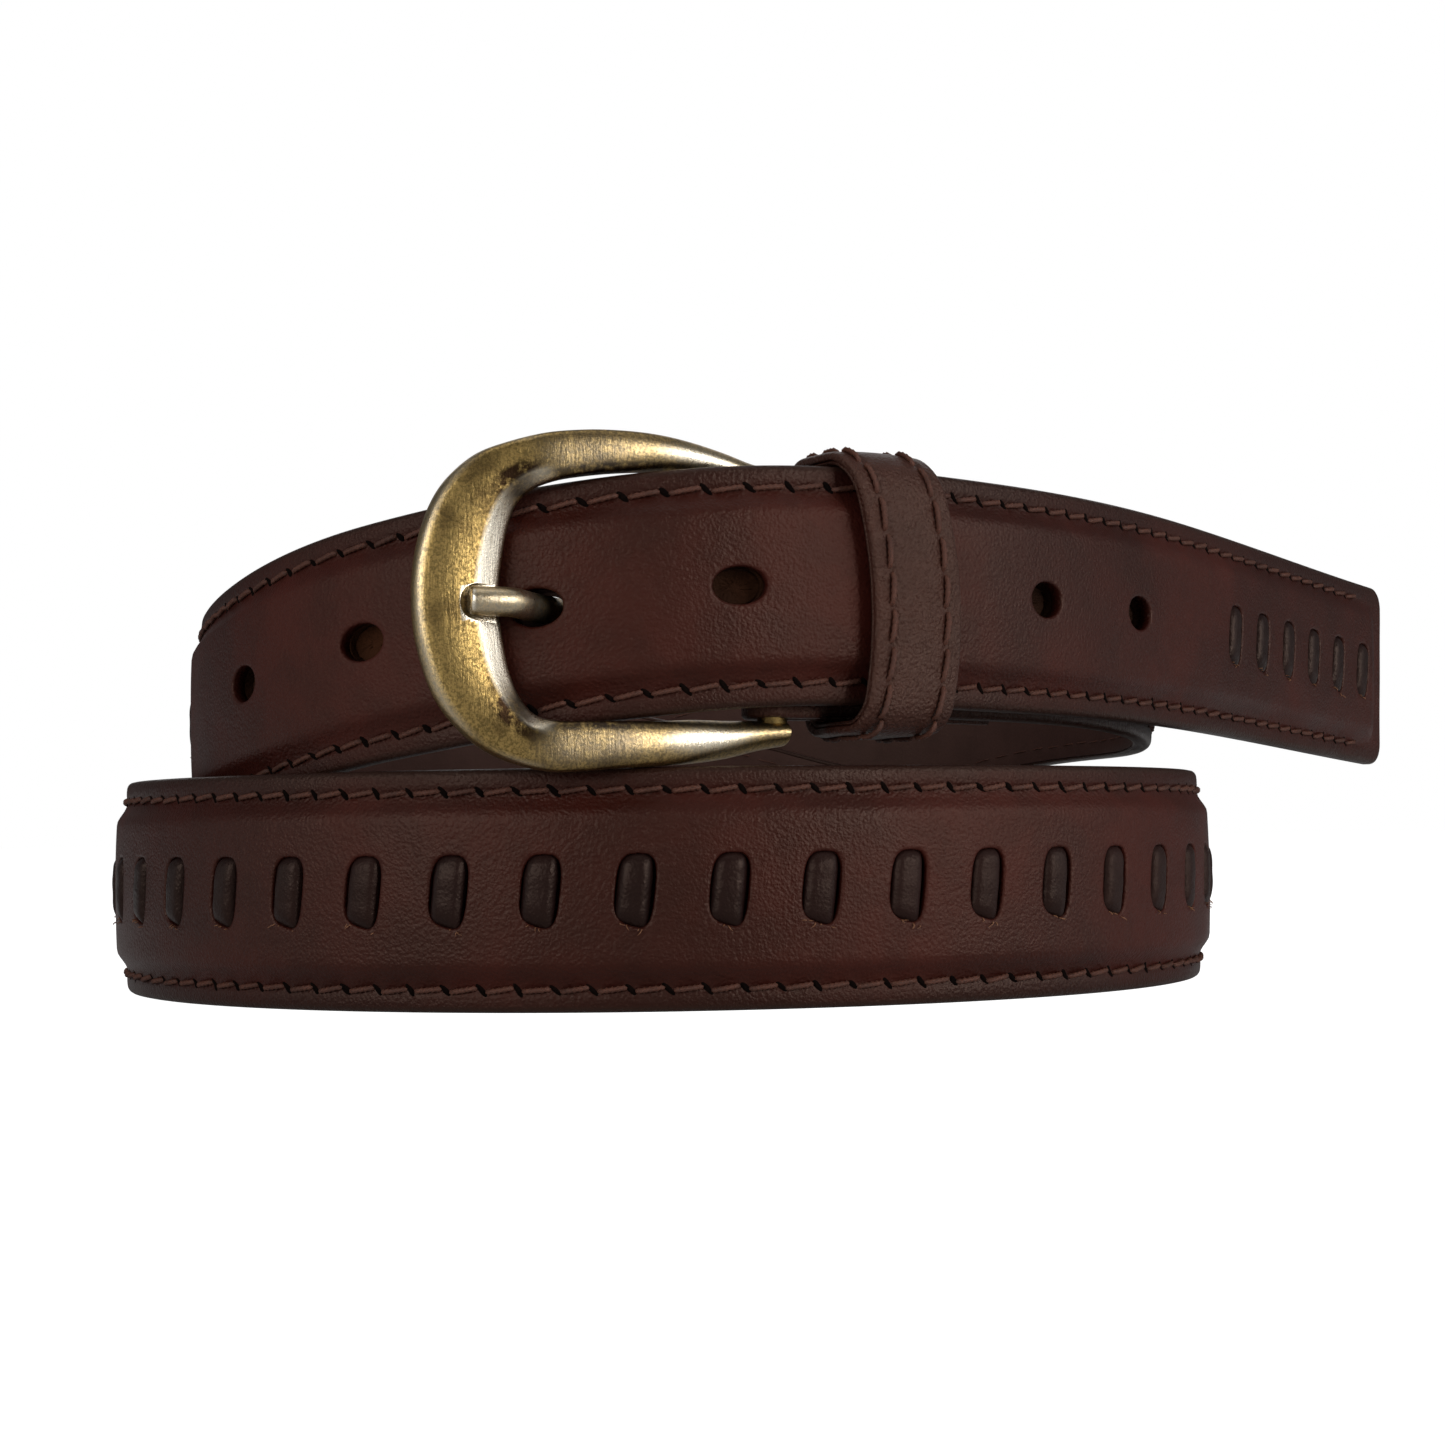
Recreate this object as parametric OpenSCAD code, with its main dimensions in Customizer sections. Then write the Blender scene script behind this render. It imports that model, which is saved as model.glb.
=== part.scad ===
// Leather belt, buckled and rolled into a two-turn coil that stands on its edge.
// Axes: X to the right, -Y towards the viewer, +Z up. The floor is z = 0.

/* [Strap] */
// Width of the strap, which is its height while it stands on edge
strap_w = 31.75; // [28:0.25:38]
// Thickness of the flat stitched edge bands
edge_t = 3.2; // [2.6:0.1:4]
// Thickness over the padded centre
mid_t = 4.9; // [4:0.1:6]
// Thickness of the lining leather
lining_t = 1.25; // [0.8:0.05:1.6]
// Width of the flat band along each edge
band_w = 4.2; // [3:0.1:6]
// Length along the strap from the bar to the tip
tip_s = 1136.5; // [1130:0.5:1142]
// Corner radius of the tip
tip_r = 3.6; // [2:0.1:8]

/* [Holes] */
// Number of punched holes
holes = 7; // [5:1:7]
// Distance from the bar to the hole in use
used_hole_s = 942.2; // [941:0.1:943]
// Spacing of the holes
hole_pitch = 23.75; // [23:0.05:25]
// Length of a hole along the strap
hole_l = 6.6; // [6.4:0.1:7]
// Height of a hole across the strap
hole_h = 5.2; // [4.6:0.1:6]

/* [Lace and thread] */
// Spacing of the lace stitches
lace_pitch = 11.66; // [10:0.01:13]
// Width of the flat lace
lace_w = 4.9; // [3:0.1:6]
// Height of one lace stitch
lace_h = 9.3; // [6:0.1:12]
// Lean of each lace stitch, top to the right
lace_lean = 1.2; // [0:0.1:3]
// Spacing of the thread stitches
thread_pitch = 4.75; // [4:0.05:6]
// Thickness of the thread
thread_d = 0.75; // [0.5:0.05:1]
// Distance of the thread from the strap's edge
thread_in = 3; // [2:0.1:4]

/* [Buckle] */
// Bar radius
bar_r = 2; // [1.5:0.1:2.5]
// Gap all round the bar in the fold and in the prong's eye
bar_gap = 0.05; // [0.02:0.01:0.1]
// Length of the buckle from the bar to the front of the bow
bow_reach = 49; // [45:0.5:52]
// Height of the buckle over its arms
buckle_h = 44.6; // [44:0.1:45]
// Thickness of the buckle's casting
buckle_t = 4.6; // [3.5:0.1:5.5]
// Heading of the buckle in plan, turned from the X axis
buckle_turn = 17.8; // [16:0.1:20]
// Radius of the prong's shank
prong_r = 1.9; // [1.5:0.05:2.2]

/* [Keeper] */
// Distance from the bar to the middle of the keeper
keeper_s = 15; // [14:0.1:16]
// Width of the keeper along the strap
keeper_w = 13.7; // [13:0.1:14]
// Thickness of the keeper's outer leather
keeper_t = 1.1; // [1:0.1:1.4]
// Thickness of the keeper's lining
keeper_lining_t = 0.6; // [0.5:0.1:0.8]

/* [Hidden] */
$fn = 48;
brown = [0.27, 0.12, 0.09];
dark = [0.20, 0.09, 0.07];
tan = [0.42, 0.30, 0.28];
thread = [0.33, 0.16, 0.12];
brass = [0.62, 0.52, 0.28];

// How the coil lies: [distance from the bar, degrees turned per 100 mm, height of lower edge]
lay = [[0, 50, 38.5], [55, 58, 38], [110, 77.5, 35.5], [160, 88, 33.2], [210, 75, 20.5],
  [265, 59.5, 7.5], [320, 63, 0.4], [380, 81.5, 0], [445, 74.5, 0], [510, 59.5, 0],
  [570, 78.5, 0], [635, 80.5, 0], [690, 80.5, 2], [740, 74.5, 14], [805, 67, 24],
  [870, 77.5, 25.4], [920, 94.5, 33.4], [965, 90, 39.2], [1005, 47.5, 39.3],
  [1060, 2.5, 37.9], [1150, -11.5, 32.7]];
start = [-5.64, -68.98];
start_turn = 22.9;
step = 6.5;
n_steps = ceil(tip_s / step) + 1;
turns = [for (k = lay) [k[0], k[1]]];

// Height of the lower edge, a smooth curve through the stations
function seg(s, i = 0) = (i >= len(lay) - 2 || s < lay[i + 1][0]) ? i : seg(s, i + 1);
function slope(i) =
  let(a = max(i - 1, 0), b = min(i + 1, len(lay) - 1))
  (lay[b][2] - lay[a][2]) / (lay[b][0] - lay[a][0]);
function rise_in(i, t, h) =
  (2 * pow(t, 3) - 3 * t * t + 1) * lay[i][2] + (pow(t, 3) - 2 * t * t + t) * h * slope(i)
  + (3 * t * t - 2 * pow(t, 3)) * lay[i + 1][2] + (pow(t, 3) - t * t) * h * slope(i + 1);
function rise(s) =
  let(i = seg(s), h = lay[i + 1][0] - lay[i][0])
  max(0, rise_in(i, (s - lay[i][0]) / h, h));
function pitch_at(s) = atan((rise(s + 1) - rise(max(s - 1, 0))) / (s < 1 ? s + 1 : 2));

// Plan of the strap's inner face, walked in equal steps: [x, y, heading]
function walk(q, s) =
  let(d = lookup(s + step / 2, turns) * step / 100, a = step * cos(pitch_at(s + step / 2)))
  [q[0] + a * cos(q[2] + d / 2), q[1] + a * sin(q[2] + d / 2), q[2] + d];
plan = [for (i = 0, q = [start[0], start[1], start_turn]; i <= n_steps;
  q = walk(q, i * step), i = i + 1) q];

// Frame at a step: point, outward normal, upward edge direction, direction along the strap
function frame(i) =
  let(q = plan[i], b = pitch_at(i * step))
  [[q[0], q[1], rise(i * step)], [sin(q[2]), -cos(q[2]), 0],
   [-cos(q[2]) * sin(b), -sin(q[2]) * sin(b), cos(b)],
   [cos(q[2]) * cos(b), sin(q[2]) * cos(b), sin(b)]];
frames = [for (i = [0 : n_steps]) frame(i)];
function mix(a, b, t) = a * (1 - t) + b * t;
function fr(s) =
  let(i = min(floor(s / step), n_steps - 1), t = s / step - i)
  [for (k = [0 : 3]) mix(frames[i][k], frames[i + 1][k], t)];
// Point at distance s, w out from the inner face, v up from the lower edge
function at(s, w, v) = let(f = fr(s)) f[0] + f[1] * w + f[2] * v;

// Steps between two distances, with the ends included
function stops(a, b) =
  concat([a], [for (i = [ceil((a + 0.5) / step) : floor((b - 0.5) / step)]) i * step], [b]);

// A layer from rows of [v, inner w, outer w] at each stop
module layer(ss, rows) {
  m = len(rows[0]);
  n = len(ss);
  pts = [for (k = [0 : n - 1], j = [0 : m - 1], side = [1, 2])
    at(ss[k], rows[k][j][side], rows[k][j][0])];
  function p(k, j, side) = (k * m + j) * 2 + side;
  faces = concat(
    [for (k = [0 : n - 2], j = [0 : m - 2]) [p(k, j, 1), p(k + 1, j + 1, 1), p(k + 1, j, 1)]],
    [for (k = [0 : n - 2], j = [0 : m - 2]) [p(k, j, 1), p(k, j + 1, 1), p(k + 1, j + 1, 1)]],
    [for (k = [0 : n - 2], j = [0 : m - 2]) [p(k, j, 0), p(k + 1, j, 0), p(k + 1, j + 1, 0)]],
    [for (k = [0 : n - 2], j = [0 : m - 2]) [p(k, j, 0), p(k + 1, j + 1, 0), p(k, j + 1, 0)]],
    [for (k = [0 : n - 2]) [p(k, 0, 0), p(k + 1, 0, 1), p(k + 1, 0, 0)]],
    [for (k = [0 : n - 2]) [p(k, 0, 0), p(k, 0, 1), p(k + 1, 0, 1)]],
    [for (k = [0 : n - 2]) [p(k, m - 1, 1), p(k + 1, m - 1, 0), p(k + 1, m - 1, 1)]],
    [for (k = [0 : n - 2]) [p(k, m - 1, 1), p(k, m - 1, 0), p(k + 1, m - 1, 0)]],
    [for (j = [0 : m - 2]) [p(0, j + 1, 0), p(0, j + 1, 1), p(0, j, 1), p(0, j, 0)]],
    [for (j = [0 : m - 2])
      [p(n - 1, j + 1, 1), p(n - 1, j + 1, 0), p(n - 1, j, 0), p(n - 1, j, 1)]]);
  polyhedron(pts, faces, convexity = 10);
}

// How far the edge is drawn in near the tip, for its rounded corners
function draw_in(s) =
  let(d = s - (tip_s - tip_r)) d <= 0 ? 0 : tip_r - sqrt(max(0, tip_r * tip_r - d * d));
// Padding fades out before the tip and after the fold
function pad(s) = max(0, min(1, (tip_s - 5.2 - s) / 2.4, (s - 6) / 2));
g = 0.03;
function front_rows(s) =
  let(e = draw_in(s), k = pad(s), a = lining_t + g, q = strap_w / 2)
  [[e, a, edge_t - 0.9], [e + 0.8, a, edge_t - 0.05], [max(band_w, e + 1.2), a, edge_t],
   [band_w + 1.7, a + 1.7 * k, edge_t + 1.35 * k], [q, a + 1.8 * k, edge_t + (mid_t - edge_t) * k],
   [strap_w - band_w - 1.7, a + 1.7 * k, edge_t + 1.35 * k],
   [strap_w - max(band_w, e + 1.2), a, edge_t],
   [strap_w - e - 0.8, a, edge_t - 0.05], [strap_w - e, a, edge_t - 0.9]];
function lining_rows(s) =
  let(e = draw_in(s))
  [[e + 0.15, 0.5, lining_t], [e + 0.9, 0, lining_t],
   [strap_w - e - 0.9, 0, lining_t], [strap_w - e - 0.15, 0.5, lining_t]];
core_a = lining_t + 0.15;
function core_rows(s) =
  [[band_w + 1.7, core_a, lining_t + 1.7 - g], [strap_w / 2, core_a, lining_t + 1.8 - g],
   [strap_w - band_w - 1.7, core_a, lining_t + 1.7 - g]];

// Cutter for the punched holes: an oval prism through the whole strap
module hole_cutters() {
  for (k = [0 : holes - 1]) {
    f = fr(used_hole_s + (k - 2) * hole_pitch);
    o = f[0] + f[2] * strap_w / 2 - f[1] * 1;
    multmatrix([[f[3][0], f[2][0], f[1][0], o[0]], [f[3][1], f[2][1], f[1][1], o[1]],
      [f[3][2], f[2][2], f[1][2], o[2]], [0, 0, 0, 1]])
      linear_extrude(8)
        polygon([for (t = [7.5 : 15 : 352.5]) [hole_l / 2 * cos(t), hole_h / 2 * sin(t)]]);
  }
}

body_a = 5.6;
corner_stops = [for (t = [20, 40, 60, 80]) tip_s - tip_r + tip_r * sin(t)];
strap_stops = concat(stops(body_a, tip_s - tip_r - 4), [tip_s - 5.2], [tip_s - tip_r],
  corner_stops, [tip_s]);

module strap_front() {
  color(brown) difference() {
    layer(strap_stops, [for (s = strap_stops) front_rows(s)]);
    hole_cutters();
  }
}
module strap_core() {
  ss = stops(13, tip_s - 9);
  color(dark) difference() {
    layer(ss, [for (s = ss) core_rows(s)]);
    hole_cutters();
  }
}
module strap_lining() {
  color(tan) difference() {
    layer(strap_stops, [for (s = strap_stops) lining_rows(s)]);
    hole_cutters();
  }
}

// Slabs on the strap's face: each is [s, v, length along s, height, lean, w base, w top, slant]
function slab(c) =
  [for (w = [c[5], c[6]], q = [[-1, -1], [1, -1], [1, 1], [-1, 1]])
    at(c[0] + q[0] * c[2] / 2 + q[1] * c[4] / 2, w,
       c[1] + q[1] * c[3] / 2 + q[0] * c[7] / 2)];
module slabs(list) {
  pts = [for (c = list, p = slab(c)) p];
  box = [[0, 1, 2], [0, 2, 3], [6, 5, 4], [7, 6, 4], [0, 4, 5], [0, 5, 1],
    [1, 5, 6], [1, 6, 2], [2, 6, 7], [2, 7, 3], [3, 7, 4], [3, 4, 0]];
  faces = [for (k = [0 : len(list) - 1], f = box) [for (i = f) 8 * k + i]];
  polyhedron(pts, faces, convexity = 10);
}
// Clear of the strap's facets, which are flat between stops
lift = 0.16;
stitch_n = floor((tip_s - 10 - 12) / thread_pitch);
module stitch_row(v) {
  slabs([for (k = [0 : stitch_n])
    [11 + k * thread_pitch, v, thread_pitch * 0.8, thread_d, 0, edge_t + lift,
     edge_t + thread_d * 0.7, 0.7]]);
}
module edge_stitch_upper() { color(thread) stitch_row(strap_w - thread_in); }
module edge_stitch_lower() { color(thread) stitch_row(thread_in); }

lace_first = 71.42;
lace_n = 68;
module lace_row(s0, n, p) {
  slabs([for (k = [0 : n - 1])
    [s0 + k * p, strap_w / 2, lace_w, lace_h, lace_lean, mid_t + 1.4 * lift, mid_t + 0.9, 0.9]]);
}
module body_lace() { color(dark) lace_row(lace_first, lace_n, lace_pitch); }
module tip_lace() { color(dark) lace_row(1070.3, 6, 10.73); }

// The fold round the bar and the turned-back end, as pairs of points across the leather
fold_in = bar_r + bar_gap;
fold_t = 2.05;
// The folded leather sits a little low on the strap: its lower and upper edges
fold_lo = -0.4;
fold_hi = 29.9;
bar_w = mid_t - fold_in - fold_t;
// The bar's own slope along the belt, and its lean: its lower end stands further out
bar_slope = -1.05;
bar_lean = 3;
// How far the buckle sits below the middle of the strap
bar_drop = 1.45;
bar_h = plan[0][2];
bar_t = [cos(bar_h) * cos(bar_slope), sin(bar_h) * cos(bar_slope), sin(bar_slope)];
bar_o = frames[0][1];
bar_v = cross(bar_o, bar_t);
bar_n = bar_o * cos(bar_lean) + bar_v * sin(bar_lean);
bar_u = bar_v * cos(bar_lean) - bar_o * sin(bar_lean);
bar_mid = frames[0][0] + bar_o * bar_w + bar_v * (strap_w / 2);
function bar_local(t, w, v) = bar_mid + bar_t * t + bar_n * w + bar_u * (v - strap_w / 2);
arc_n = 12;
fold_arc = [for (i = [0 : arc_n]) 90 + i * 180 / arc_n];
leg_s = [1.2, 3, 4.6, 6.5, 13, 19.5, 26, 32.5, 38.5];
leg_w = [-1.05, -0.6, -0.34, -0.3, -0.3, -0.3, -0.3, -0.3, -0.3];
function front_leg(v) = [for (s = [body_a - 0.05, 3, 1.2])
  [at(s, bar_w + fold_in + 0.1, v), at(s, bar_w + fold_in + fold_t, v)]];
function fold_pairs(v) = concat(front_leg(v),
  [for (a = fold_arc) [bar_local((fold_in - 0.1) * cos(a), (fold_in - 0.1) * sin(a), v),
     bar_local((fold_in + fold_t) * cos(a), (fold_in + fold_t) * sin(a), v)]],
  [for (k = [0 : len(leg_s) - 1])
    [at(leg_s[k], leg_w[k], v), at(leg_s[k], leg_w[k] - fold_t, v)]]);
module ribbon(lo, hi) {
  n = len(lo);
  pts = [for (k = [0 : n - 1]) for (p = [lo[k][0], lo[k][1], hi[k][1], hi[k][0]]) p];
  faces = concat(
    [for (k = [0 : n - 2], j = [0 : 3])
      [4 * k + j, 4 * (k + 1) + (j + 1) % 4, 4 * k + (j + 1) % 4]],
    [for (k = [0 : n - 2], j = [0 : 3])
      [4 * k + j, 4 * (k + 1) + j, 4 * (k + 1) + (j + 1) % 4]],
    [[0, 1, 2, 3], [4 * n - 1, 4 * n - 2, 4 * n - 3, 4 * n - 4]]);
  polyhedron(pts, faces, convexity = 10);
}
// Places a child with its Z along the bar, its X along the strap and its origin on the bar
module on_bar(v = strap_w / 2) {
  o = bar_local(0, 0, v);
  t = bar_t;
  n = -bar_n;
  u = bar_u;
  multmatrix([[t[0], n[0], u[0], o[0]], [t[1], n[1], u[1], o[1]],
    [t[2], n[2], u[2], o[2]], [0, 0, 0, 1]])
    children();
}
module chape_fold() {
  color(brown) difference() {
    ribbon(fold_pairs(fold_lo), fold_pairs(fold_hi));
    on_bar() cylinder(r = fold_in, h = 40, center = true);
    on_bar() translate([-1.2, 0, -bar_drop]) cube([12, 9, 2 * prong_r + 2.4], center = true);
  }
}
function cross_stitches(s, w, n) = [for (k = [0 : n - 1])
  [s, 3 + (k + 0.5) * (strap_w - 6) / n, thread_d, (strap_w - 6) / n * 0.78, 0.5,
   w - thread_d * 0.55, w, 0]];
leg_face = -0.3 - fold_t - lift;
module chape_stitch_near() { color(thread) slabs(cross_stitches(5.4, leg_face, 6)); }
module chape_stitch_far() { color(thread) slabs(cross_stitches(35, leg_face, 6)); }

// The keeper: X across it along the strap, Y out from the coil, Z up
kf = fr(keeper_s);
module on_keeper() {
  o = kf[0];
  t = kf[3];
  n = kf[1];
  u = kf[2];
  multmatrix([[t[0], -n[0], u[0], o[0]], [t[1], -n[1], u[1], o[1]],
    [t[2], -n[2], u[2], o[2]], [0, 0, 0, 1]])
    children();
}
k_in = -3;
k_out = 2 * mid_t + 1.35;
k_lo = -0.8;
k_hi = strap_w + 1.55;
function arc_pts(c, r, a) = [for (t = [0 : 15 : 90]) c + r * [cos(a + t), sin(a + t)]];
// Rounded outline in (outward, up), grown by d from the inside of the loop
function k_loop(d, r) = concat(
  arc_pts([k_out + d - r, k_hi + d - r], r, 0), arc_pts([k_in - d + r, k_hi + d - r], r, 90),
  arc_pts([k_in - d + r, k_lo - d + r], r, 180), arc_pts([k_out + d - r, k_lo - d + r], r, 270));
module k_ring(d0, d1, w) {
  on_keeper() multmatrix([[0, 0, -1, w / 2], [-1, 0, 0, 0], [0, 1, 0, 0], [0, 0, 0, 1]])
    linear_extrude(w) difference() {
      polygon([for (p = k_loop(d1, 0.4 + d1)) p]);
      polygon([for (p = k_loop(d0, 0.4 + d0)) p]);
    }
}
module keeper_leather() {
  color(brown) k_ring(keeper_lining_t + g, keeper_lining_t + keeper_t, keeper_w);
}
module keeper_lining() { color(tan) k_ring(0, keeper_lining_t, keeper_w); }
k_face = k_out + keeper_lining_t + keeper_t + g;
module k_stitches(x) {
  n = 7;
  p = (strap_w - 2) / n;
  for (k = [0 : n - 1])
    on_keeper() translate([x - thread_d / 2, -k_face - 0.4, 1.9 + (k + 0.11) * p])
      cube([thread_d, 0.4, p * 0.78]);
}
module keeper_stitch_left() { color(thread) k_stitches(-keeper_w / 2 + 2.2); }
module keeper_stitch_right() { color(thread) k_stitches(keeper_w / 2 - 2.2); }
module keeper_staple() {
  color(brass) on_keeper() translate([-4, -k_in + keeper_lining_t + keeper_t + g, 11])
    for (z = [0, 8]) translate([0, 0, z]) cube([8, 0.35, 1]);
}

// The buckle: X away from the bar towards the bow, Y out to the viewer, Z up
bk_a = buckle_turn - start_turn;
bar_c = bar_local(0, 0, strap_w / 2 - bar_drop);
bk_x = -bar_t * cos(bk_a) + bar_n * sin(bk_a);
bk_y = -bar_n * cos(bk_a) - bar_t * sin(bk_a);
module on_buckle() {
  multmatrix([[bk_x[0], bk_y[0], bar_u[0], bar_c[0]], [bk_x[1], bk_y[1], bar_u[1], bar_c[1]],
    [bk_x[2], bk_y[2], bar_u[2], bar_c[2]], [0, 0, 0, 1]])
    children();
}
bh = buckle_h / 2;
// [outer x, outer height, inner x, inner height] from the arm's end to the bow's middle
arm_hi = [[-2.8, 17.6, -2.8, 17], [-2.6, 18.2, -2.6, 16.4], [-1.6, 18.6, -1.6, 16.3],
  [3, 19.5, 3, 16.4], [7, 20.6, 7, 16.8], [12, 21.5, 12, 17.1], [17, 22, 17, 17.1],
  [22, 22.1, 22, 16.7], [27, 21.9, 26.5, 16.1], [32, 21.3, 30.5, 15.3],
  [37, 20.1, 33.5, 14.1], [41, 18.4, 35.4, 12.2], [44.4, 15.4, 36.5, 9.4],
  [46.6, 11.9, 37.1, 6.4], [48.1, 7.5, 37.5, 3.6], [48.8, 3.6, 37.7, 1.6],
  [bow_reach, 0, 37.7, 0]];
arm_lo = [[-2.8, 17, -2.8, 16], [-2.6, 17.5, -2.6, 15.4], [-1.6, 17.9, -1.6, 15.15],
  [3, 18.8, 3, 15.15], [7, 19.75, 7, 15.3], [12, 20.6, 12, 15.4], [17, 21.2, 17, 15.75],
  [22, 21.95, 22, 15.9], [27, 22.4, 27, 16], [32, 22.5, 31, 16],
  [37, 21.1, 33.6, 14.9], [41, 18.9, 35.4, 12.4], [44.4, 15.6, 36.5, 9.4],
  [46.6, 12, 37.1, 6.4], [48.1, 7.5, 37.5, 3.6], [48.8, 3.6, 37.7, 1.6]];
na = len(arm_hi);
loop = concat([for (q = arm_lo) [q[0], -q[1], q[2], -q[3]]],
  [for (i = [0 : na - 1]) arm_hi[na - 1 - i]]);
// Casting thickness and how far it stands forward, by distance from the bar
function cast_t(x) =
  lookup(x, [[-3.2, 2.4], [-1.6, 3.8], [3, 4], [20, 4], [33, 3.8], [38, buckle_t], [49, 4.4]]);
function camber(x) =
  lookup(x, [[-4, 0], [1, 0], [6, 1], [12, 2.8], [17, 4.2], [22, 4.9], [33, 4.9],
    [38, 3.4], [49, 2.6]]);
// Cross-section from the outside of the loop to the inside: [fraction across, depth / thickness]
sec = [[0, -0.2], [0, 0.15], [0.08, 0.37], [0.35, 0.5], [0.68, 0.43], [0.96, 0.08],
  [1, -0.1], [0.97, -0.36], [0.85, -0.5], [0.12, -0.5]];
module casting() {
  n = len(loop);
  m = len(sec);
  pts = [for (q = loop) for (c = sec)
    [q[0] + (q[2] - q[0]) * c[0], -(c[1] * cast_t(q[0]) + camber(q[0])),
     q[1] + (q[3] - q[1]) * c[0]]];
  faces = concat(
    [for (k = [0 : n - 2], j = [0 : m - 1])
      [m * k + j, m * k + (j + 1) % m, m * (k + 1) + (j + 1) % m]],
    [for (k = [0 : n - 2], j = [0 : m - 1])
      [m * k + j, m * (k + 1) + (j + 1) % m, m * (k + 1) + j]],
    [[for (j = [0 : m - 1]) m - 1 - j], [for (j = [0 : m - 1]) m * (n - 1) + j]]);
  polyhedron(pts, faces, convexity = 6);
}
notch_y = -5.3;
// The prong dips a little on its way to the middle of the hole
prong_drop = 0.9;
module buckle_frame() {
  color(brass) difference() {
    on_buckle() casting();
    on_buckle() cylinder(r = bar_r + 0.02, h = 36.4, center = true);
    on_buckle() translate([36, notch_y, -prong_drop]) rotate([0, 90, 0])
      cylinder(r = prong_r + 0.5, h = 7.2);
  }
}
module buckle_bar() {
  color(brass) on_buckle() cylinder(r = bar_r, h = 36.2, center = true);
}

// The prong: eye round the bar, shank behind the tail, up through the hole, onto the bow
prong_way = [[3.2, -1.2, 1.5], [9, -2, 1.8], [14, -1.4, 1.9], [18, -0.1, 1.9], [22, 1.7, 1.9],
  [25, 3.2, 1.9], [27, 3.7, 1.9], [28.6, 2.82, 1.9], [33.9, -2.3, 1.9], [35.3, -3.9, 1.9],
  [36.9, -5.15, 1.9], [39.5, -5.5, 1.9], [42.3, -5.5, 1.8]];
module rod(way) {
  m = 12;
  n = len(way);
  function dir(k) =
    let(d = [for (j = [0, 1]) way[min(k + 1, n - 1)][j] - way[max(k - 1, 0)][j]]) d / norm(d);
  pts = [for (k = [0 : n - 1]) for (j = [0 : m - 1])
    [way[k][0] - dir(k)[1] * way[k][2] * cos(j * 30), way[k][1] + dir(k)[0] * way[k][2] * cos(j * 30),
     way[k][2] * sin(j * 30) - prong_drop * min(1, way[k][0] / 24)]];
  faces = concat(
    [for (k = [0 : n - 2], j = [0 : m - 1])
      [m * k + j, m * (k + 1) + (j + 1) % m, m * k + (j + 1) % m]],
    [for (k = [0 : n - 2], j = [0 : m - 1])
      [m * k + j, m * (k + 1) + j, m * (k + 1) + (j + 1) % m]],
    [[for (j = [0 : m - 1]) j], [for (j = [0 : m - 1]) m * n - 1 - j]]);
  polyhedron(pts, faces, convexity = 6);
}
module prong() {
  color(brass) on_buckle() difference() {
    union() {
      cylinder(r = bar_r + 1.8, h = 4.6, center = true);
      rod(prong_way);
    }
    cylinder(r = bar_r + bar_gap, h = 10, center = true);
  }
}

strap_front();
strap_core();
strap_lining();
edge_stitch_upper();
edge_stitch_lower();
body_lace();
tip_lace();
chape_fold();
chape_stitch_near();
chape_stitch_far();
keeper_leather();
keeper_lining();
keeper_stitch_left();
keeper_stitch_right();
keeper_staple();
buckle_frame();
buckle_bar();
prong();
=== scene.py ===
"""Leather belt with a horseshoe buckle, buckled and coiled in two turns on its edge.

Lengths are in millimetres in the mesh code and are scaled to metres when a mesh is made.
On the strap, s is the distance from the bar, v the height over the strap's lower edge and w
the distance out from its inner face.
"""
import math

import bmesh
import bpy
import numpy as np
from mathutils import Euler, Matrix, Vector


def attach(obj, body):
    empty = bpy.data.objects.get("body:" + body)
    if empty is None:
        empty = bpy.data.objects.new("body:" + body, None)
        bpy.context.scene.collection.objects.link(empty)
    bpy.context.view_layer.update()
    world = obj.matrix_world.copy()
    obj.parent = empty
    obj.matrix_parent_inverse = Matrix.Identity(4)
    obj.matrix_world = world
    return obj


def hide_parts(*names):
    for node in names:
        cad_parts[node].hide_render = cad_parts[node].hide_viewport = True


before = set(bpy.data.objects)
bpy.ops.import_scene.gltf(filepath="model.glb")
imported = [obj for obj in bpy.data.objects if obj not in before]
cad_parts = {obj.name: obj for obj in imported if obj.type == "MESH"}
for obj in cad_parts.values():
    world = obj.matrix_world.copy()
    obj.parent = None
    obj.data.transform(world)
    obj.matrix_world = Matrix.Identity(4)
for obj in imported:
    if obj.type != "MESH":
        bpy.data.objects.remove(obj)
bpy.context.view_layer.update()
MM = 0.001

# ---- sizes, as in the CAD where it has them
STRAP_W = 31.75
EDGE_T = 3.2
MID_T = 4.9
LINING_T = 1.25
LINING_BACK = 0.75
TIP_S = 1136.5
TIP_R = 3.6
BODY_A = 5.6
HOLES = 7
USED_HOLE_S = 942.2
HOLE_PITCH = 23.75
HOLE_L = 6.6
HOLE_H = 5.2
LACE_PITCH = 11.66
LACE_FIRST = 71.42
LACE_N = 68
TIP_LACE = (1070.3, 6, 10.73)
LACE_W = 4.9
LACE_H = 9.3
LACE_LEAN = 0.1
LACE_FOOT = 0.75
THREAD_PITCH = 4.75
THREAD_D = 0.75
THREAD_IN = 3.0
ROW_START, ROW_SHORT = 11, 22  # the edge rows' start, and how much shorter they are
KEEPER_S = 15
KEEPER_W = 13.7
KEEPER_T = 1.1
KEEPER_LINING_T = 0.6
BUCKLE_TURN = 17.8
START_TURN = 22.9
BAR_R = 2.0
BAR_GAP = 0.05
BAR_SLOPE = -1.05
BAR_LEAN = 3
BAR_DROP = 1.45
BOW_REACH = 49
PRONG_R = 1.9
PRONG_DROP = 0.9
FOLD_T = 2.05
FOLD_END = 38.5

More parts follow.
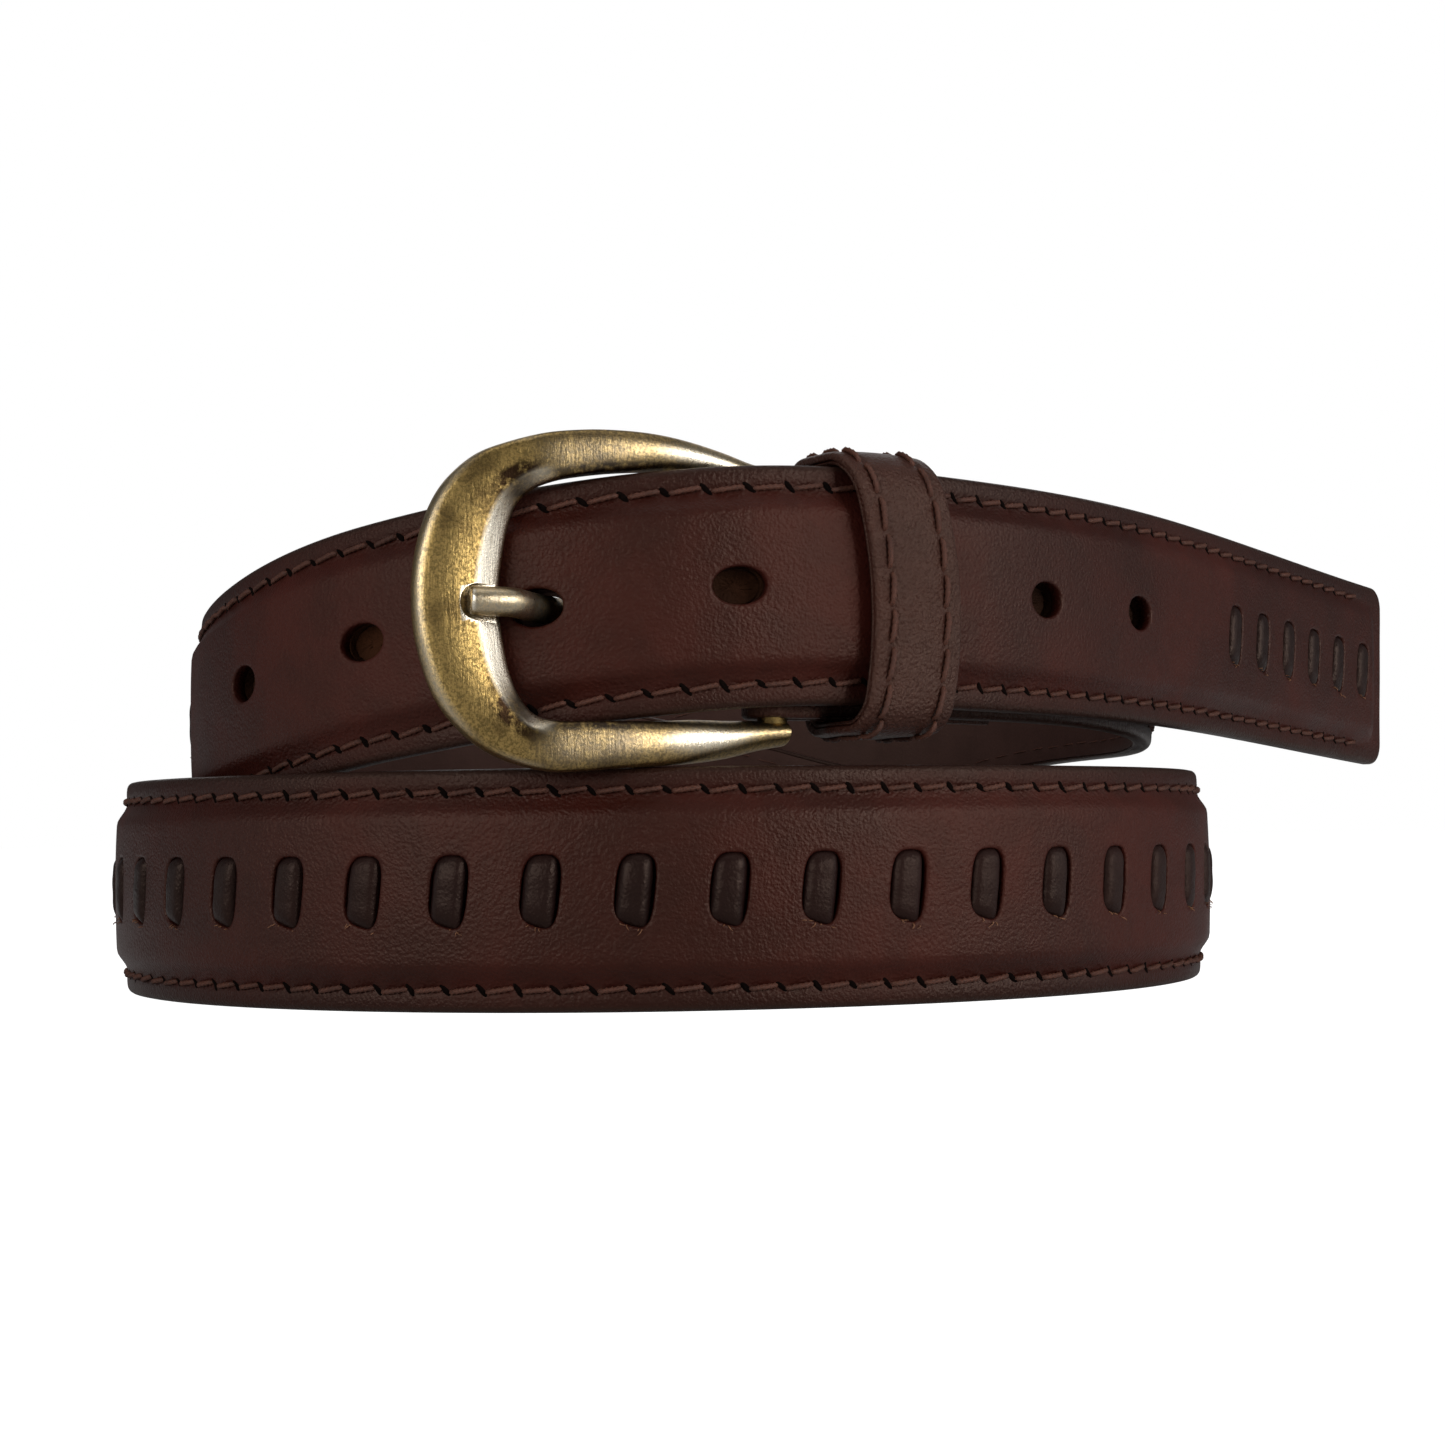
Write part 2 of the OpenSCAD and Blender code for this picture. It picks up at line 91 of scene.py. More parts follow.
# [distance from the bar, degrees turned per 100 mm, height of the lower edge]
LAY = [
    (0, 50, 38.5), (55, 58, 38), (110, 77.5, 35.5), (160, 88, 33.2), (210, 75, 20.5),
    (265, 59.5, 7.5), (320, 63, 0.4), (380, 81.5, 0), (445, 74.5, 0), (510, 59.5, 0),
    (570, 78.5, 0), (635, 80.5, 0), (690, 80.5, 2), (740, 74.5, 14), (805, 67, 24),
    (870, 77.5, 25.4), (920, 94.5, 33.4), (965, 90, 39.2), (1005, 47.5, 39.3),
    (1060, 2.5, 37.9), (1150, -11.5, 32.7),
]
START = (-5.64, -68.98)


# ---- the strap's path
def rise(s):
    """Height of the lower edge: a smooth curve through the stations."""
    d = [row[0] for row in LAY]
    z = [row[2] for row in LAY]
    i = min(max(int(np.searchsorted(d, s, side="right")) - 1, 0), len(LAY) - 2)

    def slope(k):
        a, b = max(k - 1, 0), min(k + 1, len(LAY) - 1)
        return (z[b] - z[a]) / (d[b] - d[a])

    h = d[i + 1] - d[i]
    t = (s - d[i]) / h
    value = (2 * t**3 - 3 * t * t + 1) * z[i] + (t**3 - 2 * t * t + t) * h * slope(i)
    value += (3 * t * t - 2 * t**3) * z[i + 1] + (t**3 - t * t) * h * slope(i + 1)
    return max(0.0, value)


def walk_plan(step=0.5):
    """Table of s, x, y, z, heading and pitch along the strap's inner face."""
    n = int(TIP_S / step) + 4
    rows = []
    x, y, heading = START[0], START[1], math.radians(START_TURN)
    d = [row[0] for row in LAY]
    turn = [row[1] for row in LAY]
    for i in range(n):
        s = i * step
        pitch = math.atan((rise(s + 1) - rise(max(s - 1, 0))) / (s + 1 if s < 1 else 2))
        rows.append((s, x, y, rise(s), heading, pitch))
        bend = math.radians(np.interp(s + step / 2, d, turn) * step / 100)
        run = step * math.cos(pitch)
        x += run * math.cos(heading + bend / 2)
        y += run * math.sin(heading + bend / 2)
        heading += bend
    return np.array(rows)


PLAN = walk_plan()


def frames(s):
    """Origin, outward normal, up and along vectors at distances s, as arrays."""
    s = np.asarray(s, float)
    x, y, z, h, b = (np.interp(s, PLAN[:, 0], PLAN[:, k]) for k in range(1, 6))
    zero = np.zeros_like(h)
    origin = np.stack([x, y, z], -1)
    normal = np.stack([np.sin(h), -np.cos(h), zero], -1)
    up = np.stack([-np.cos(h) * np.sin(b), -np.sin(h) * np.sin(b), np.cos(b)], -1)
    along = np.stack([np.cos(h) * np.cos(b), np.sin(h) * np.cos(b), np.sin(b)], -1)
    return origin, normal, up, along


def frame_at(s):
    """The four vectors of frames() at one distance."""
    return [a[0] for a in frames([s])]


def at(s, w, v):
    """Points at distance s, w out from the inner face, v up from the lower edge."""
    origin, normal, up, _ = frames(s)
    return origin + normal * np.asarray(w, float)[..., None] + up * np.asarray(v, float)[..., None]


# ---- mesh helpers
def add_object(name, data):
    """An object in the scene that shows the data."""
    obj = bpy.data.objects.new(name, data)
    bpy.context.scene.collection.objects.link(obj)
    return obj


def make(name, verts, faces, material, body, node=(), *, slot, uv=None, wear=None, smooth=True):
    """A mesh object from millimetre points that rides on a body and replaces CAD nodes."""
    mesh = bpy.data.meshes.new(name)
    mesh.from_pydata((np.asarray(verts, float) * MM).tolist(), [], [list(f) for f in faces])
    mesh.validate()
    loops = np.zeros(len(mesh.loops), dtype=np.int32)
    mesh.loops.foreach_get("vertex_index", loops)
    if uv is not None:
        layer = mesh.uv_layers.new(name="strap")
        layer.data.foreach_set("uv", (np.asarray(uv, float) / 100)[loops].ravel())
    if wear is not None:
        layer = mesh.attributes.new("wear", "FLOAT_COLOR", "POINT")
        layer.data.foreach_set("color", np.asarray(wear, float).ravel())
    mesh.polygons.foreach_set("use_smooth", [smooth] * len(mesh.polygons))
    mesh.update()
    obj = add_object(name, mesh)
    mesh.materials.append(material)
    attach(obj, body)
    if node:
        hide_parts(*node)
    return obj


def thicken(outer, inner, faces):
    """A closed solid from two sheets with the same faces."""
    n = len(outer)
    count = {}
    for f in faces:
        for a, b in zip(f, f[1:] + f[:1]):
            count[(a, b)] = count.get((a, b), 0) + 1
    rim = [(a, b) for (a, b) in count if (b, a) not in count]
    back = [[i + n for i in reversed(f)] for f in faces]
    walls = [[b, a, a + n, b + n] for a, b in rim]
    return np.concatenate([outer, inner]), faces + back + walls


def grid_faces(rows, cols, close_rows=False, close_cols=False, skip=None):
    """Quads of a grid of points whose index is row * cols + col."""
    faces = []
    for r in range(rows if close_rows else rows - 1):
        for c in range(cols if close_cols else cols - 1):
            if skip and skip(r, c):
                continue
            r2, c2 = (r + 1) % rows, (c + 1) % cols
            faces.append([r * cols + c, r2 * cols + c, r2 * cols + c2, r * cols + c2])
    return faces


def tube_faces(rows, cols):
    """Quads of a tube of rings of points, with a flat cap at each end."""
    caps = [list(range(cols)), [(rows - 1) * cols + c for c in reversed(range(cols))]]
    return grid_faces(rows, cols, close_cols=True) + caps


def flipped(faces):
    """The faces turned to look the other way."""
    return [list(reversed(f)) for f in faces]


def make_joined(name, parts, *args, **more):
    """One mesh object out of many pairs of points and faces."""
    verts, faces, base = [], [], 0
    for v, f in parts:
        verts.append(v)
        faces += [[i + base for i in q] for q in f]
        base += len(v)
    return make(name, np.concatenate(verts), faces, *args, **more)


def fix_normals(mesh):
    """Turns every face outwards."""
    bm = bmesh.new()
    bm.from_mesh(mesh)
    bmesh.ops.recalc_face_normals(bm, faces=bm.faces)
    bm.to_mesh(mesh)
    bm.free()


def sharpen(obj, degrees):
    """Marks edges sharper than an angle so that smooth shading keeps them crisp."""
    bm = bmesh.new()
    bm.from_mesh(obj.data)
    for edge in bm.edges:
        if len(edge.link_faces) == 2 and edge.calc_face_angle(0) > math.radians(degrees):
            edge.smooth = False
    for face in bm.faces:
        face.smooth = True
    bm.to_mesh(obj.data)
    bm.free()


def cut_with(obj, name, points, faces):
    """Cuts a solid of world points out of an object and throws the cutter away."""
    solid = bpy.data.meshes.new(name)
    solid.from_pydata([tuple(np.ravel(p) * MM) for p in points], [], faces)
    fix_normals(solid)
    cutter = add_object(name, solid)
    mod = obj.modifiers.new("cut", "BOOLEAN")
    mod.operation = "DIFFERENCE"
    mod.solver = "EXACT"
    mod.object = cutter
    depsgraph = bpy.context.evaluated_depsgraph_get()
    mesh = bpy.data.meshes.new_from_object(obj.evaluated_get(depsgraph))
    obj.modifiers.clear()
    old = obj.data
    obj.data = mesh
    mesh.name = obj.name
    bpy.data.objects.remove(cutter)
    bpy.data.meshes.remove(solid)
    bpy.data.meshes.remove(old)


def smooth_curve(points, per_span):
    """Catmull-Rom curve through the points."""
    p = np.asarray(points, float)
    out = []
    for i in range(len(p) - 1):
        a, b, c, d = (p[min(max(k, 0), len(p) - 1)] for k in range(i - 1, i + 3))
        for j in range(per_span):
            t = j / per_span
            out.append(0.5 * (2 * b + (c - a) * t + (2 * a - 5 * b + 4 * c - d) * t * t
                              + (3 * b - a - 3 * c + d) * t**3))
    return np.array(out + [p[-1]])


def turn_angles(n):
    """n equal steps round a circle."""
    return 2 * math.pi * np.arange(n) / n


def smoothstep(a, b, x):
    """0 up to a, 1 from b on, and a smooth rise between them."""
    t = np.clip((np.asarray(x, float) - a) / (b - a), 0, 1)
    return t * t * (3 - 2 * t)


# ---- materials
WAX_TINT = (1, 0.72, 0.58, 1)
EDGE_DYE = (0.02, 0.0085, 0.006)


def wire(node, **sockets):
    """Sets a node's sockets (_ for a space) to constants, or links outputs to them."""
    for key, value in sockets.items():
        socket = node.inputs[key.replace("_", " ")]
        if isinstance(value, bpy.types.NodeSocket):
            node.id_data.links.new(value, socket)
        else:
            socket.default_value = value
    return node


def new_material(name):
    """An empty material: itself, a Graph of its tree, and a Principled shader."""
    mat = bpy.data.materials.new(name)
    mat.use_nodes = True
    mat.node_tree.nodes.clear()
    g = Graph(mat.node_tree)
    shader = g.new("BsdfPrincipled")
    wire(g.new("OutputMaterial"), Surface=shader.outputs[0])
    return mat, g, shader


class Graph:
    """Short calls for building a node tree."""

    def __init__(self, tree):
        self.tree = tree
        self.place = self.new("TexCoord").outputs["Object"]
        uv = self.new("UVMap")
        uv.uv_map = "strap"
        self.uv = uv.outputs[0]

    def new(self, kind, **sockets):
        return wire(self.tree.nodes.new("ShaderNode" + kind), **sockets)

    def math(self, op, a, b, clamp=False):
        node = self.new("Math")
        node.operation = op
        node.use_clamp = clamp
        for socket, value in zip(node.inputs, (a, b)):
            if isinstance(value, (int, float)):
                socket.default_value = value
            else:
                self.tree.links.new(value, socket)
        return node.outputs[0]

    def times(self, a, b, clamp=False):
        return self.math("MULTIPLY", a, b, clamp)

    def add(self, a, b):
        return self.math("ADD", a, b)

    def stretch(self, scale):
        """Object coordinates scaled unevenly, which draws a pattern out where it is small."""
        return self.new("Mapping", Scale=scale, Vector=self.place).outputs[0]

    def noise(self, scale, detail, rough=0.5, vector=None):
        return self.new("TexNoise", Scale=scale, Detail=detail, Roughness=rough,
                        Vector=vector or self.place).outputs[0]

    def cells(self, scale, feature="F1"):
        node = self.new("TexVoronoi", Scale=scale, Vector=self.place)
        node.feature = feature
        return node.outputs["Distance"]

    def ramp(self, value, low, high, a=0.0, b=1.0):
        """a while the value is under low, b over high, smooth between."""
        node = self.new("MapRange", Value=value, From_Min=low, From_Max=high, To_Min=a, To_Max=b)
        node.interpolation_type = "SMOOTHSTEP"
        return node.outputs[0]

    def mix(self, factor, a, b):
        """Colour a while the factor is 0, b at 1. Each is an output or three numbers."""
        node = self.new("Mix")
        node.data_type = "RGBA"
        self.tree.links.new(factor, node.inputs[0])
        for socket, value in ((node.inputs[6], a), (node.inputs[7], b)):
            if isinstance(value, tuple):
                socket.default_value = (*value, 1)
            else:
                self.tree.links.new(value, socket)
        return node.outputs[2]

    def bump(self, height, distance):
        return self.new("Bump", Strength=1.0, Distance=distance, Height=height).outputs[0]

    def strap_v(self):
        """Height over the strap's lower edge, in units of 100 mm."""
        return self.new("SeparateXYZ", Vector=self.uv).outputs[1]

    def wear(self):
        """Outputs of the wear attribute: how pale from rubbing and painted highlight, how dark from
        grime and painted shade.
        """
        node = self.new("Attribute")
        node.attribute_name = "wear"
        return self.new("SeparateColor", Color=node.outputs["Color"]).outputs[:2]


def leather(name, deep, mid, warm, shine, rough=(0.36, 0.5), grain=0.00009, strap=False):
    """Waxed leather: pebble grain, soft creases, uneven dye, and on the strap darker edges."""
    mat, g, shader = new_material(name)
    tone = g.ramp(g.noise(28, 3, 0.55), 0.35, 0.68)
    blot = g.ramp(g.noise(150, 4, 0.6), 0.38, 0.66)
    color = g.mix(g.times(blot, 0.28), g.mix(tone, mid, warm), deep)
    pebble = g.cells(2300, "SMOOTH_F1")
    fine = g.noise(3800, 3, 0.6)
    crease = g.noise(620, 4, 0.62, g.stretch((1, 1, 0.5)))
    pore = g.math("SUBTRACT", 1, g.ramp(g.cells(3600), 0.05, 0.3))
    color = g.mix(g.times(pore, 0.3), color, deep)
    height = g.add(g.add(g.times(pebble, -1.2), g.times(fine, 0.9)), g.times(crease, 0.32))
    if strap:
        v = g.strap_v()
        edge = g.math("MINIMUM", v, g.math("SUBTRACT", STRAP_W / 100, v))
        band = g.ramp(edge, 0.012, 0.046, 1, 0)
        color = g.mix(g.times(band, 0.5), color, deep)
        rim = g.ramp(edge, 0.0045, 0.012, 1, 0)
        color = g.mix(g.times(rim, 0.85), color, EDGE_DYE)
    uneven = g.ramp(g.add(g.times(fine, 0.5), g.times(tone, 0.5)), 0.3, 0.7, *rough)
    wire(shader, Base_Color=color, Roughness=uneven, Normal=g.bump(height, grain),
         Specular_IOR_Level=shine, Specular_Tint=WAX_TINT)
    return mat


def thread_material(name, base, dark, rough=0.55, shine=0.25):
    """Waxed twisted thread: fine fibres along the twist."""
    mat, g, shader = new_material(name)
    fibre = g.noise(6500, 2, 0.6, g.stretch((1, 1, 3)))
    tone = g.ramp(g.noise(300, 2), 0.45, 0.7)
    color = g.mix(g.ramp(fibre, 0.35, 0.65), dark, base)
    wire(shader, Base_Color=g.mix(g.times(tone, 0.5), color, dark), Roughness=rough,
         Specular_IOR_Level=shine, Normal=g.bump(fibre, 0.00006))
    return mat


def brass_material(name):
    """Antiqued brass: speckled patina, brushed lines, pale where rubbing and painted highlights
    fall, darkened by grime and painted shade.
    """
    mat, g, shader = new_material(name)
    bright, grime_and_shade = g.wear()
    speck = g.noise(2600, 4, 0.7)
    cloud = g.noise(130, 4, 0.6)
    brush = g.noise(420, 3, 0.6, g.stretch((9, 9, 0.8)))
    scratch = g.noise(1500, 2, 0.5, g.stretch((1, 1, 0.12)))
    # pale is the colour of worn brass and of the painted highlights; black is the colour of grime
    # and of painted shade.
    gold, olive, pale = (0.5, 0.335, 0.115), (0.21, 0.145, 0.05), (0.95, 0.87, 0.72)
    brown, black = (0.05, 0.028, 0.012), (0.03, 0.016, 0.008)
    color = g.mix(g.ramp(speck, 0.4, 0.58), olive, gold)
    color = g.mix(g.times(g.ramp(cloud, 0.5, 0.68), 0.55), color, brown)
    color = g.mix(g.times(g.ramp(brush, 0.56, 0.72), 0.4), color, brown)
    # Painted shade, together with grime, darkens the colour towards black here.
    dirt_and_shade = g.times(grime_and_shade, g.ramp(g.noise(700, 4, 0.7), 0.3, 0.55), clamp=True)
    color = g.mix(dirt_and_shade, color, black)
    # Painted highlight, together with rubbing, turns the colour pale here.
    rub_and_highlight = g.times(bright, g.ramp(scratch, 0.2, 0.5, 0.75, 1), clamp=True)
    rough = g.add(g.ramp(speck, 0.3, 0.7, 0.42, 0.3), g.times(rub_and_highlight, -0.12))
    height = g.add(g.add(g.times(speck, 0.6), g.times(scratch, 0.5)), g.times(brush, 0.5))
    wire(shader, Base_Color=g.mix(rub_and_highlight, color, pale), Metallic=1, Roughness=rough,
         Normal=g.bump(height, 0.00006))
    return mat


def steel_material(name):
    """Plain drawn wire with faint lines."""
    mat, g, shader = new_material(name)
    lines = g.noise(900, 3, 0.5, g.stretch((0.3, 0.3, 6)))
    wire(shader, Base_Color=g.mix(lines, (0.35, 0.33, 0.3), (0.62, 0.6, 0.56)), Metallic=1,
         Roughness=g.ramp(lines, 0.2, 0.8, 0.3, 0.45), Normal=g.bump(lines, 0.00003))
    return mat


FRONT = leather("front_leather", (0.0095, 0.0027, 0.0019), (0.0255, 0.0046, 0.0029),
                (0.044, 0.0068, 0.0042), strap=True, shine=0.25)
KEEPER = leather("keeper_leather", (0.012, 0.0042, 0.003), (0.03, 0.0098, 0.0066),
                 (0.04, 0.012, 0.0078), rough=(0.33, 0.46), grain=0.00017, shine=0.36)
LINING = leather("lining_leather", (0.02, 0.0095, 0.008), (0.044, 0.021, 0.0175),
                 (0.056, 0.027, 0.022), rough=(0.5, 0.62), grain=0.00003, shine=0.2)
LACE = leather("lace_leather", (0.0045, 0.0022, 0.002), (0.0115, 0.0052, 0.0046),
               (0.0165, 0.0064, 0.0056), rough=(0.34, 0.48), grain=0.00005, shine=0.17)
CORE = leather("core_leather", (0.004, 0.002, 0.0015), (0.013, 0.0055, 0.0032),
               (0.045, 0.016, 0.007), rough=(0.75, 0.9), grain=0.0001, shine=0.1)
# The needle slit material is near-black and matte: painted shade for the insides of the needle
# cuts, not thread.
SLIT_SHADE = thread_material("needle_slit_shade", (0.006, 0.003, 0.002), (0.002, 0.001, 0.001), 0.95, 0.04)
FIBRE = thread_material("torn_fibre", (0.32, 0.15, 0.075), (0.14, 0.06, 0.03))
THREAD = thread_material("waxed_thread", (0.12, 0.042, 0.025), (0.032, 0.012, 0.0075))
BRASS = brass_material("antique_brass")
STEEL = steel_material("steel_wire")


# ---- camera, floor and light
# The photograph's lens and place, in millimetres of lens, radians and metres
CAMERA_LENS = 63.24
CAMERA_TILT = 0.0429
CAMERA_ROLL = -0.0126
CAMERA_PLACE = (-0.01164, -0.40898, 0.023215)
FLOOR_HALF = 6.0
FLOOR_GLOW, WORLD_GLOW = 0.08, 0.09


def build_camera():
    """The photograph's view: low, level with the belt, tilted up a little."""
    cam = bpy.data.cameras.new("camera")
    cam.lens = CAMERA_LENS
    cam.sensor_width = 36
    cam.clip_start = 0.01
    obj = add_object("camera", cam)
    turn = Euler((math.pi / 2 + CAMERA_TILT, 0, 0)).to_matrix()
    turn = turn @ Matrix.Rotation(CAMERA_ROLL, 3, "Z")
    obj.matrix_world = Matrix.Translation(CAMERA_PLACE) @ turn.to_4x4()
    bpy.context.scene.camera = obj


def seen_white(tree, level):
    """White where the camera sees it, but only level bright as a source of light."""
    ray = tree.nodes.new("ShaderNodeLightPath").outputs["Is Camera Ray"]
    return wire(tree.nodes.new("ShaderNodeMapRange"), Value=ray, To_Min=level,
                To_Max=1.0).outputs[0]


def build_stage():
    """The pale floor, which the camera sees as white."""
    mat, g, shader = new_material("pale_floor")
    wire(shader, Base_Color=g.mix(g.noise(3, 2), (0.5, 0.5, 0.5), (0.54, 0.54, 0.54)),
         Roughness=0.9, Specular_IOR_Level=0.1, Emission_Color=(1, 1, 1, 1),
         Emission_Strength=seen_white(g.tree, FLOOR_GLOW))
    mesh = bpy.data.meshes.new("floor")
    r = FLOOR_HALF
    mesh.from_pydata([(-r, -r, 0), (r, -r, 0), (r, r, 0), (-r, r, 0)], [], [(0, 1, 2, 3)])
    mesh.materials.append(mat)
    floor = add_object("floor", mesh)


# [name, place, size, power] of each area light
LIGHTS = [
    ("softbox_left", (-0.72, -0.92, 0.4), (0.95, 0.6), 6.8),
    ("softbox_right", (0.98, -0.72, 0.4), (0.7, 0.6), 6),
    ("strip_right", (0.9, -0.93, 0.28), (0.22, 0.7), 4),
    ("side_left", (-1.2, -0.1, 0.2), (0.6, 0.6), 0.6),
    ("side_right", (1.2, -0.05, 0.35), (0.5, 0.9), 1.8),
    ("top", (0.0, -0.1, 1.1), (1.2, 0.8), 2.5),
    ("back", (0.0, 1.3, 0.9), (1.6, 0.8), 3),
]


def build_lights():
    """Softboxes in front, a panel at each side, soft light from above and behind."""
    for name, place, size, power in LIGHTS:
        data = bpy.data.lights.new(name, "AREA")
        data.shape = "RECTANGLE"
        data.size, data.size_y = size
        data.energy = power
        obj = add_object(name, data)
        obj.location = place
        look = Vector((0, 0, 0.04)) - Vector(place)
        obj.rotation_euler = look.to_track_quat("-Z", "Y").to_euler()
    world = bpy.data.worlds.new("studio")
    world.use_nodes = True
    tree = world.node_tree
    wire(tree.nodes["Background"], Color=(1, 1, 1, 1), Strength=seen_white(tree, WORLD_GLOW))
    bpy.context.scene.world = world
    bpy.context.scene.view_settings.view_transform = "Standard"


# ---- the strap
def draw_in(s):
    """How far the side edges draw in at the tip's round corners."""
    d = np.clip(np.asarray(s, float) - (TIP_S - TIP_R), 0, TIP_R)
    return TIP_R - np.sqrt(TIP_R**2 - d * d)


def inset(s, v):
    """Distance from the strap's outline, round its corners too."""
    side = np.minimum(v, STRAP_W - v)
    end = TIP_S - s
    a, b = TIP_R - end, TIP_R - side
    corner = TIP_R - np.hypot(np.maximum(a, 0), np.maximum(b, 0))
    return np.where((a > 0) & (b > 0), corner, np.minimum(side, end))


def pad(s):
    """1 where the filler pads the strap, 0 past its ends."""
    return np.clip(np.minimum((TIP_S - 4.6 - s) / 2.4, (s - 6) / 2), 0, 1)


def face_w(s, v):
    """Height of the front face: rounded edge, flat band with a groove, padded middle."""
    d = inset(s, v)
    rim = [2.1, 2.55, 2.84, 3.03, 3.12, 3.18, EDGE_T]
    w = np.interp(d, [0, 0.1, 0.3, 0.6, 0.9, 1.4, 1.9], rim)
    side = np.minimum(v, STRAP_W - v)
    w = w - 0.2 * np.exp(-((side - THREAD_IN) / 0.5) ** 2) * smoothstep(8, 10, TIP_S - s)
    x = np.abs(v - STRAP_W / 2) / (STRAP_W / 2 - 3.6)
    crown = 0.8 + 0.2 * (1 - np.clip(x, 0, 1) ** 2)
    swell = smoothstep(3.35, 6.4, side)
    w = w + (MID_T - EDGE_T) * swell * crown * pad(s)
    wave = 0.035 * np.sin(s * 0.21 + v * 0.17) * np.sin(s * 0.083 - v * 0.31 + 1.0)
    return w + wave * swell


def back_w(s, v):
    """Inner side of the front leather: it wraps the lining's edge and covers the filler."""
    d = inset(s, v)
    rim = np.interp(d, [0, 0.1, 0.3, 0.6, 0.9], [1.15, 0.7, 0.38, 0.15, LINING_T + 0.03])
    side = np.minimum(v, STRAP_W - v)
    return rim + 1.75 * smoothstep(4.2, 5.9, side) * pad(s)


class Opening:
    """An opening in the strap: power squares its corners, foot slants its lower end."""

    def __init__(self, s, half_s, half_v, lean=0.0, power=1.0, reach_s=2.2, foot=0.0):
        self.s, self.v = s, STRAP_W / 2
        self.half_s, self.half_v, self.lean, self.power = half_s, half_v, lean, power
        self.foot = foot
        self.reach = half_s + reach_s

    def outline(self, angle, grow):
        c, q = np.cos(angle), np.sin(angle)
        x = np.sign(c) * np.abs(c) ** self.power * (self.half_s + grow)
        y = np.sign(q) * np.abs(q) ** self.power * (self.half_v + grow)
        y = y - self.foot * x / self.half_s * np.clip(-y / self.half_v, 0, 1)
        return self.s + x + y * self.lean, self.v + y


def hole_list():
    """The buckle holes in the front leather, a little inside the CAD's walls."""
    return [Opening(USED_HOLE_S + (k - 2) * HOLE_PITCH, HOLE_L / 2 - 0.1, HOLE_H / 2 - 0.1)
            for k in range(HOLES)]


def lining_holes():
    """The lining is whole behind the holes, but for the one that the prong goes through."""
    return [Opening(USED_HOLE_S + 0.7, 2.4, 1.8)]


def lace_list():
    """The slots of the body's lace and of the tip's."""
    rows = [LACE_FIRST + k * LACE_PITCH for k in range(LACE_N)]
    rows += [TIP_LACE[0] + k * TIP_LACE[2] for k in range(TIP_LACE[1])]
    return [Opening(s, LACE_W / 2, LACE_H / 2, lean=LACE_LEAN, power=0.62, reach_s=1.6,
                    foot=LACE_FOOT) for s in rows]


# Half height of the band of the sheet that the openings lie in, and the rows beside it
WINDOW = 6.35
EDGE_ROWS = [0, 0.1, 0.3, 0.6, 0.9, 1.4, 1.9, 2.35, 2.65, 2.85, 3.0, 3.15, 3.35, 3.65, 4.0, 4.4,
             4.8, 5.3, 5.9, 6.6, 7.6, 8.6]
TIP_ROWS = [5, 4.2, 3.6, 3.1, 2.6, 2.1, 1.7, 1.3, 0.9, 0.6, 0.38, 0.2, 0.09, 0.03, 0]
STATION_GAP = 1.7
# Rings from the sheet's squares in to an opening: (share of the way out, growth, drop)
RINGS = [(0.62, 0, 0), (0.34, 0, 0), (0.14, 0, 0), (0, 0.42, 0), (0, 0.2, 0.05),
         (0, 0.07, 0.16), (0, 0, 0.36)]


def strap_sheet(openings):
    """Sheet in (s, v) with openings: s, v, how far each rim drops, and the faces."""
    low, high = STRAP_W / 2 - WINDOW, STRAP_W / 2 + WINDOW
    middle = list(np.linspace(low, high, 13))
    rows_v = np.array(EDGE_ROWS + middle + [STRAP_W - e for e in reversed(EDGE_ROWS)])
    j1, j2 = len(EDGE_ROWS), len(EDGE_ROWS) + 12
    stations, spans = [BODY_A], []
    for o in sorted(openings, key=lambda o: o.s):
        a, b = o.s - o.reach, o.s + o.reach
        n = max(1, round((a - stations[-1]) / STATION_GAP))
        stations += list(np.linspace(stations[-1], a, n + 1)[1:])
        first = len(stations) - 1
        stations += list(np.linspace(a, b, 9)[1:])
        spans.append((o, first, len(stations) - 1))
    end = TIP_S - 6
    n = max(1, round((end - stations[-1]) / STATION_GAP))
    stations += list(np.linspace(stations[-1], end, n + 1)[1:])
    stations = np.array(stations + [TIP_S - d for d in TIP_ROWS])
    inside = set()
    for _, k1, k2 in spans:
        inside.update((r, c) for r in range(k1, k2) for c in range(j1, j2))
    cols = len(rows_v)
    s_all, unit = np.meshgrid(stations, rows_v / STRAP_W, indexing="ij")
    draw = draw_in(s_all)
    v_all = draw + unit * (STRAP_W - 2 * draw)
    s_list, v_list = list(s_all.ravel()), list(v_all.ravel())
    drop = [0.0] * len(s_list)
    faces = grid_faces(len(stations), cols, skip=lambda r, c: (r, c) in inside)
    for o, k1, k2 in spans:
        loop = [(k, j1) for k in range(k1, k2)] + [(k2, j) for j in range(j1, j2)]
        loop += [(k, j2) for k in range(k2, k1, -1)] + [(k1, j) for j in range(j2, j1, -1)]
        ids = [k * cols + j for k, j in loop]
        bs = np.array([s_list[i] for i in ids])
        bv = np.array([v_list[i] for i in ids])
        angle = np.arctan2((bv - o.v) / WINDOW, (bs - o.s) / o.reach)
        previous = ids
        for blend, grow, down in RINGS:
            os_, ov = o.outline(angle, grow if blend == 0 else 0.42)
            rs, rv = os_ + (bs - os_) * blend, ov + (bv - ov) * blend
            base = len(s_list)
            s_list += list(rs)
            v_list += list(rv)
            drop += [down] * len(rs)
            current = list(range(base, base + len(rs)))
            m = len(current)
            faces += [[previous[i], previous[(i + 1) % m], current[(i + 1) % m], current[i]]
                      for i in range(m)]
            previous = current
    return np.array(s_list), np.array(v_list), np.array(drop), faces


